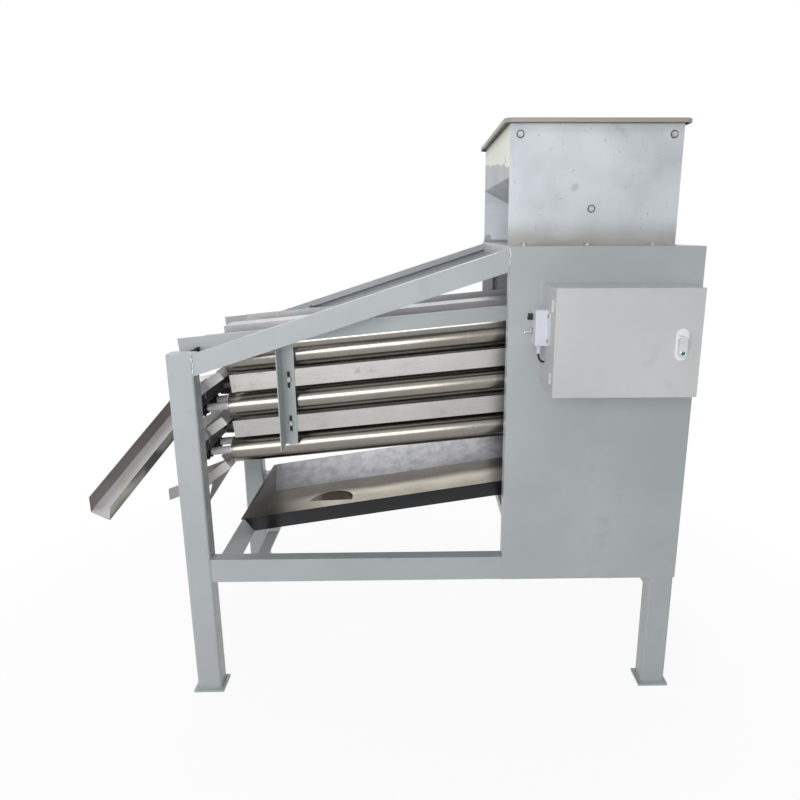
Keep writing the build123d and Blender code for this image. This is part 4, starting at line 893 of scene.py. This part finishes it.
def add_ring(shape, place, axis, inner, outer, thick, steps=36):
    """Flat ring about an axis: a four-sided profile turned once round, in millimetres."""
    axis = Vector(axis).normalized()
    side = axis.orthogonal().normalized()
    corners = [(inner, 0), (outer, 0), (outer, thick), (inner, thick)]
    points = [shape.verts.new(place + (side * across + axis * up) * MM) for across, up in corners]
    edges = [shape.edges.new((points[k], points[(k + 1) % 4])) for k in range(4)]
    bmesh.ops.spin(shape, geom=points + edges, cent=place, axis=axis, angle=2 * pi, steps=steps,
                   use_merge=True)


axis_direction = Vector((cos(AXIS_SLOPE), 0, sin(AXIS_SLOPE)))
bearing_bolts = bmesh.new()
collars = bmesh.new()
for layer in range(len(LAYERS)):
    for y in ROLLER_Y:
        for block in (LOWER_BLOCK, UPPER_BLOCK):
            bar_z = axis_height(layer, block) + BAR_TOP
            for offset in (-BOLT_SPAN, BOLT_SPAN):
                add_bolt(bearing_bolts, at(block, y + offset, bar_z), (0, 0, 1), BOLT_WIDTH)
        face_x = LOWER_BLOCK + BLOCK_HALF + COLLAR_GAP
        add_ring(collars, at(face_x, y, axis_height(layer, face_x)), axis_direction, COLLAR_INNER,
                 COLLAR_OUTER, COLLAR_LONG)
make_piece(bearing_bolts, "bearing_bolts", zinc, "frame", False)
make_piece(collars, "bearing_collars", black_paint, "frame", False)

# %% [markdown]
# ## Painted bolt shadows and slot shade
# Every bolt of the hopper and the straps sits on a dark ring round its washer, a painted shadow. Behind
# each slot of a strap lies a thin strip of black rubber, painted shade that keeps the slot dark. The far
# side is the near one, counted from the back.

# %% Painted bolt shadows and slot shade
HOPPER_FACE, HOPPER_BOLTS = 55.0, ((29.0, 1796.0), (474.0, 1796.0), (245.0, 1589.0))
STRAP_FACE, STRAP_BOLTS = 131.0, ((-688.5, 910.0), (-688.5, 1058.0))
WASHER, HOPPER_RING, STRAP_RING, RING_THICK = 8.6, 3.0, 1.6, 0.4
STRIP_DEPTH, STRIP_HALF_WIDE, STRIP_HALF_HIGH, STRIP_ROUND = (133.3, 133.9), 4.7, 27.0, 0.2


def add_slab(shape, low, high, bevel):
    """Bevelled block between two corners, in millimetres."""
    size = Vector(high) - Vector(low)
    middle = at(*((Vector(low) + Vector(high)) / 2))
    place = Matrix.Translation(middle) @ Matrix.Diagonal((*size, 1))
    cube = bmesh.ops.create_cube(shape, size=MM, matrix=place)
    round_edges(shape, edges_at(cube["verts"]), bevel * MM)


painted_bolt_shadows = bmesh.new()
slot_shade_strips = bmesh.new()
for outward, flip in ((-1, lambda y: y), (1, lambda y: DEPTH - y)):
    for x, z in HOPPER_BOLTS:
        # Painted shadow: a dark ring round each bolt's washer.
        add_ring(painted_bolt_shadows, at(x, flip(HOPPER_FACE), z), (0, outward, 0), WASHER, WASHER + HOPPER_RING,
                 RING_THICK)
    for x, z in STRAP_BOLTS:
        add_ring(painted_bolt_shadows, at(x, flip(STRAP_FACE), z), (0, outward, 0), WASHER, WASHER + STRAP_RING,
                 RING_THICK)
        # Painted shade: a thin black strip lies behind each slot.
        near, far = sorted(flip(y) for y in STRIP_DEPTH)
        add_slab(slot_shade_strips, (x - STRIP_HALF_WIDE, near, z - STRIP_HALF_HIGH),
                 (x + STRIP_HALF_WIDE, far, z + STRIP_HALF_HIGH), STRIP_ROUND)
make_piece(painted_bolt_shadows, "painted_bolt_shadow_rings", painted_shadow_grey, "frame", False)
make_piece(slot_shade_strips, "strap_slot_painted_shade", black_rubber, "frame", False)

# %% [markdown]
# ## Roller ends
# Where the journal leaves the tube's end cap there is a turned step. It turns with its roller,
# so every roller carries its own.

# %% Roller end steps
STEP_OUT, STEP_INNER, STEP_OUTER, STEP_LONG = 4, 12.9, 20.0, 5.0
for layer, layer_name in enumerate(LAYERS):
    for place, y in enumerate(ROLLER_Y):
        step = bmesh.new()
        start = at(ROLLER_END, y, axis_height(layer, ROLLER_END)) - axis_direction * STEP_OUT * MM
        add_ring(step, start, axis_direction, STEP_INNER, STEP_OUTER, STEP_LONG)
        name = f"{layer_name}_roller_{place + 1}"
        make_piece(step, f"{name}_end_step", roller_steel, name, False)

# %% [markdown]
# ## Switch box fittings
# The switch box is held to the control box by screws through its flange. Its knob carries a pale
# pointer line, and a hexagon nut holds the toggle. The bolt, the slab and the ring from above serve
# again here: a ring of six steps is a nut.

# %% Switch box fittings
FLANGE_FACE, FLANGE_Y, FLANGE_SCREWS, SCREW_WIDTH = 99.5, -102.0, (1221.0, 1291.0), 7.0
POINTER_LOW, POINTER_HIGH, POINTER_ROUND = (50.6, -40.7, 1284.5), (51.3, -39.3, 1291.5), 0.2
TOGGLE, NUT_INNER, NUT_OUTER, NUT_THICK, NUT_SIDES = (65.5, -40.0, 1241.0), 7.6, 11.0, 4.0, 6

screws = bmesh.new()
for z in FLANGE_SCREWS:
    add_bolt(screws, at(FLANGE_FACE, FLANGE_Y, z), (-1, 0, 0), SCREW_WIDTH)
make_piece(screws, "switch_flange_screws", zinc, "frame", False)

knob_line = bmesh.new()
add_slab(knob_line, POINTER_LOW, POINTER_HIGH, POINTER_ROUND)
make_piece(knob_line, "knob_pointer", pale_marks, "speed_knob", False)

nut = bmesh.new()
add_ring(nut, at(*TOGGLE), (-1, 0, 0), NUT_INNER, NUT_OUTER, NUT_THICK, NUT_SIDES)
make_piece(nut, "toggle_nut", zinc, "frame", False)

# %% [markdown]
# ## Door seal
# A strip of black foam runs round the inside of the control door and meets the rim of the box. One
# rectangle is inset, its middle is taken out, and the strip is extruded. This seal has a known fault:
# a new face has no normal until it is worked out, so the inset moves nothing, and the strip is a thin
# double wall without its width.

# %% Door seal
SEAL_BACK, SEAL_THICK, SEAL_WIDTH, SEAL_ROUND = -191.5, 5.5, 9.0, 1.6
(SEAL_LEFT, SEAL_RIGHT), (SEAL_LOW, SEAL_HIGH) = (101.2, 496.8), (1080.2, 1375.8)
SEAL_CORNERS = [(SEAL_LEFT, SEAL_LOW), (SEAL_RIGHT, SEAL_LOW), (SEAL_RIGHT, SEAL_HIGH),
                (SEAL_LEFT, SEAL_HIGH)]

seal = bmesh.new()
whole = seal.faces.new([seal.verts.new(at(x, SEAL_BACK, z)) for x, z in SEAL_CORNERS])
strip = bmesh.ops.inset_region(seal, faces=[whole], thickness=SEAL_WIDTH * MM, use_boundary=True,
                               use_even_offset=True)["faces"]
bmesh.ops.delete(seal, geom=[whole], context="FACES")
grown = bmesh.ops.extrude_face_region(seal, geom=strip)["geom"]
raised = [item for item in grown if isinstance(item, bmesh.types.BMVert)]
bmesh.ops.translate(seal, verts=raised, vec=(0, SEAL_THICK * MM, 0))
front = [item for item in grown if isinstance(item, bmesh.types.BMEdge)]
round_edges(seal, front, SEAL_ROUND * MM, 3)
make_piece(seal, "door_seal", black_rubber, "control_door", False)

# %% [markdown]
# ## Front of the speed inverter
# Inside the control box the inverter shows a keypad with a dark display, six keys and a small dial,
# and a row of cooling slots below. They are bevelled slabs on its front face, and they bear no
# lettering. Each slab is placed from the middle of that face.

# %% Inverter front
low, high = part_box("speed_inverter")
inverter_x = (low[0] + high[0]) / 2 / MM - HOUSING_CORNER[0]
inverter_y = low[1] / MM - HOUSING_CORNER[1]
inverter_z = (low[2] + high[2]) / 2 / MM
KEY_COLUMNS, KEY_LEFT, KEY_PITCH, KEY_WIDE = 3, -26, 14, 10
KEY_ROWS, KEY_LOW, KEY_RISE, KEY_HIGH = 2, 8, 16, 9
DIAL_X, DIAL_Z, DIAL_INNER, DIAL_OUTER, DIAL_THICK = 25, 20, 1.5, 7.0, 1.4
SLOT_ROWS, SLOT_LOW, SLOT_RISE, SLOT_HIGH, SLOT_HALF = 7, -80, 8, 3.4, 40
KEYPAD_FRONT, KEY_FRONT, SLOT_DEPTH = -2.2, -3.4, (-0.5, 0.2)
KEYPAD = ((-34, 34), (-2.4, 0.2), (-5, 78))
DISPLAY = ((-24, 24), (-2.9, KEYPAD_FRONT), (52, 70))
KEYPAD_ROUND, DISPLAY_ROUND, KEY_ROUND, SLOT_ROUND = 1.0, 0.3, 0.5, 0.2


def front_slab(shape, across, depth, level, bevel):
    """Slab on the inverter's front, between offsets from the middle of that face."""
    starts, ends = zip(across, depth, level)
    add_slab(shape, *[(inverter_x + x, inverter_y + y, inverter_z + z) for x, y, z in (starts, ends)],
             bevel)


keypad = bmesh.new()
front_slab(keypad, *KEYPAD, KEYPAD_ROUND)
make_piece(keypad, "inverter_keypad", black_plastic, "frame", False)
display = bmesh.new()
front_slab(display, *DISPLAY, DISPLAY_ROUND)
make_piece(display, "inverter_display", display_glass, "frame", False)

keys = bmesh.new()
for column in range(KEY_COLUMNS):
    for row in range(KEY_ROWS):
        x, z = KEY_LEFT + KEY_PITCH * column, KEY_LOW + KEY_RISE * row
        front_slab(keys, (x, x + KEY_WIDE), (KEY_FRONT, KEYPAD_FRONT), (z, z + KEY_HIGH), KEY_ROUND)
dial = at(inverter_x + DIAL_X, inverter_y + KEYPAD_FRONT, inverter_z + DIAL_Z)
add_ring(keys, dial, (0, -1, 0), DIAL_INNER, DIAL_OUTER, DIAL_THICK, 24)
make_piece(keys, "inverter_keys", inverter_plastic, "frame", False)

slots = bmesh.new()
for row in range(SLOT_ROWS):
    z = SLOT_LOW + SLOT_RISE * row
    front_slab(slots, (-SLOT_HALF, SLOT_HALF), SLOT_DEPTH, (z, z + SLOT_HIGH), SLOT_ROUND)
make_piece(slots, "inverter_slots", black_plastic, "frame", False)

# %% [markdown]
# ## Motor dressing
# The motor under the housing is a ribbed casting with a fan cover at its end and a terminal box on
# top. The ribs are thin slabs turned round the motor's axis, which leans with the rollers. Its
# measures are counted from the end of the casing, along that axis.

# %% Motor dressing
MOTOR_Y, MOTOR_AXIS, MOTOR_RADIUS, MOTOR_INSET = 192.0, TOP_AXIS - 636.0, 70.0, 8
RIB_COUNT, RIB_MIDDLE, RIB_PROUD, RIB_SIZE = 32, 0.112, 1.5, (118, 2.6, 7)
COVER_MIDDLE, COVER_LONG, COVER_RADII = 0.022, 0.046, (0.0715, 0.0745)
GRILLE_RINGS, GRILLE_WIDTH, GRILLE_DEPTH = 5, 0.009, 0.0012
TERMINAL_PLACE, TERMINAL_SIZE, TERMINAL_ROUND = (0.105, 0, 0.088), (86, 70, 40), 0.004

motor_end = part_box("gear_motor")[0][0] / MM - HOUSING_CORNER[0]
motor_x = motor_end + MOTOR_INSET
motor_start = at(motor_x, MOTOR_Y, MOTOR_AXIS + motor_x * tan(AXIS_SLOPE))
lean = Matrix.Translation(motor_start) @ Matrix.Rotation(-AXIS_SLOPE, 4, "Y")
rib_place = Matrix.Translation((RIB_MIDDLE, 0, (MOTOR_RADIUS + RIB_PROUD) * MM))
rib = rib_place @ Matrix.Diagonal((*RIB_SIZE, 1))
ribs = bmesh.new()
for step in range(RIB_COUNT):
    turn = Matrix.Rotation(2 * pi * step / RIB_COUNT, 4, "X")
    bmesh.ops.create_cube(ribs, size=MM, matrix=lean @ turn @ rib)
make_piece(ribs, "motor_ribs", motor_paint, "frame", False)

cover = bmesh.new()
tube = Matrix.Translation((COVER_MIDDLE, 0, 0)) @ Matrix.Rotation(pi / 2, 4, "Y")
bmesh.ops.create_cone(cover, cap_ends=True, segments=40, radius1=COVER_RADII[0], radius2=COVER_RADII[1],
                      depth=COVER_LONG, matrix=lean @ tube)
caps = [face for face in cover.faces if len(face.verts) > 4]
grille = min(caps, key=lambda face: face.calc_center_median().x)
for ring in range(GRILLE_RINGS):
    bmesh.ops.inset_region(cover, faces=[grille], thickness=GRILLE_WIDTH,
                           depth=-GRILLE_DEPTH if ring % 2 else GRILLE_DEPTH)
make_piece(cover, "motor_fan_cover", motor_paint, "frame", False)

terminals = bmesh.new()
terminal_place = lean @ Matrix.Translation(TERMINAL_PLACE) @ Matrix.Diagonal((*TERMINAL_SIZE, 1))
bmesh.ops.create_cube(terminals, size=MM, matrix=terminal_place)
round_edges(terminals, list(terminals.edges), TERMINAL_ROUND, 3)
make_piece(terminals, "motor_terminal_box", motor_paint, "frame", False)
print("motor starts at", round(motor_end, 1), "mm")

# %% [markdown]
# ## Lead of the switch box
# A short black lead leaves the gland under the switch box and bends into the side of the
# control box. It could be a swept mesh, but a spline stays easy to bend. The spline starts and ends on
# its route and is drawn towards the corner between.

# %% Switch lead
LEAD_ROUTE = [(83.5, -55.0, 1177.0), (83.5, -55.0, 1151.0), (101.5, -55.0, 1151.0)]
LEAD_LENGTH, LEAD_DIAMETER = 0.0378, 0.006
lead_line = bpy.data.curves.new("switch_lead_line", "CURVE")
lead_line.dimensions = "3D"
lead_line.bevel_depth = LEAD_DIAMETER / 2
lead_line.bevel_resolution = 6
spline = lead_line.splines.new("NURBS")
spline.points.add(len(LEAD_ROUTE) - 1)
for point, place in zip(spline.points, LEAD_ROUTE):
    point.co = (*at(*place), 1)
spline.order_u = 3
spline.use_endpoint_u = True
lead_line.materials.append(black_rubber)
lead = bpy.data.objects.new("switch_lead_cord", lead_line)
bpy.context.scene.collection.objects.link(lead)
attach(lead, "frame")
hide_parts("switch_lead")
print("lead", LEAD_LENGTH, "m")
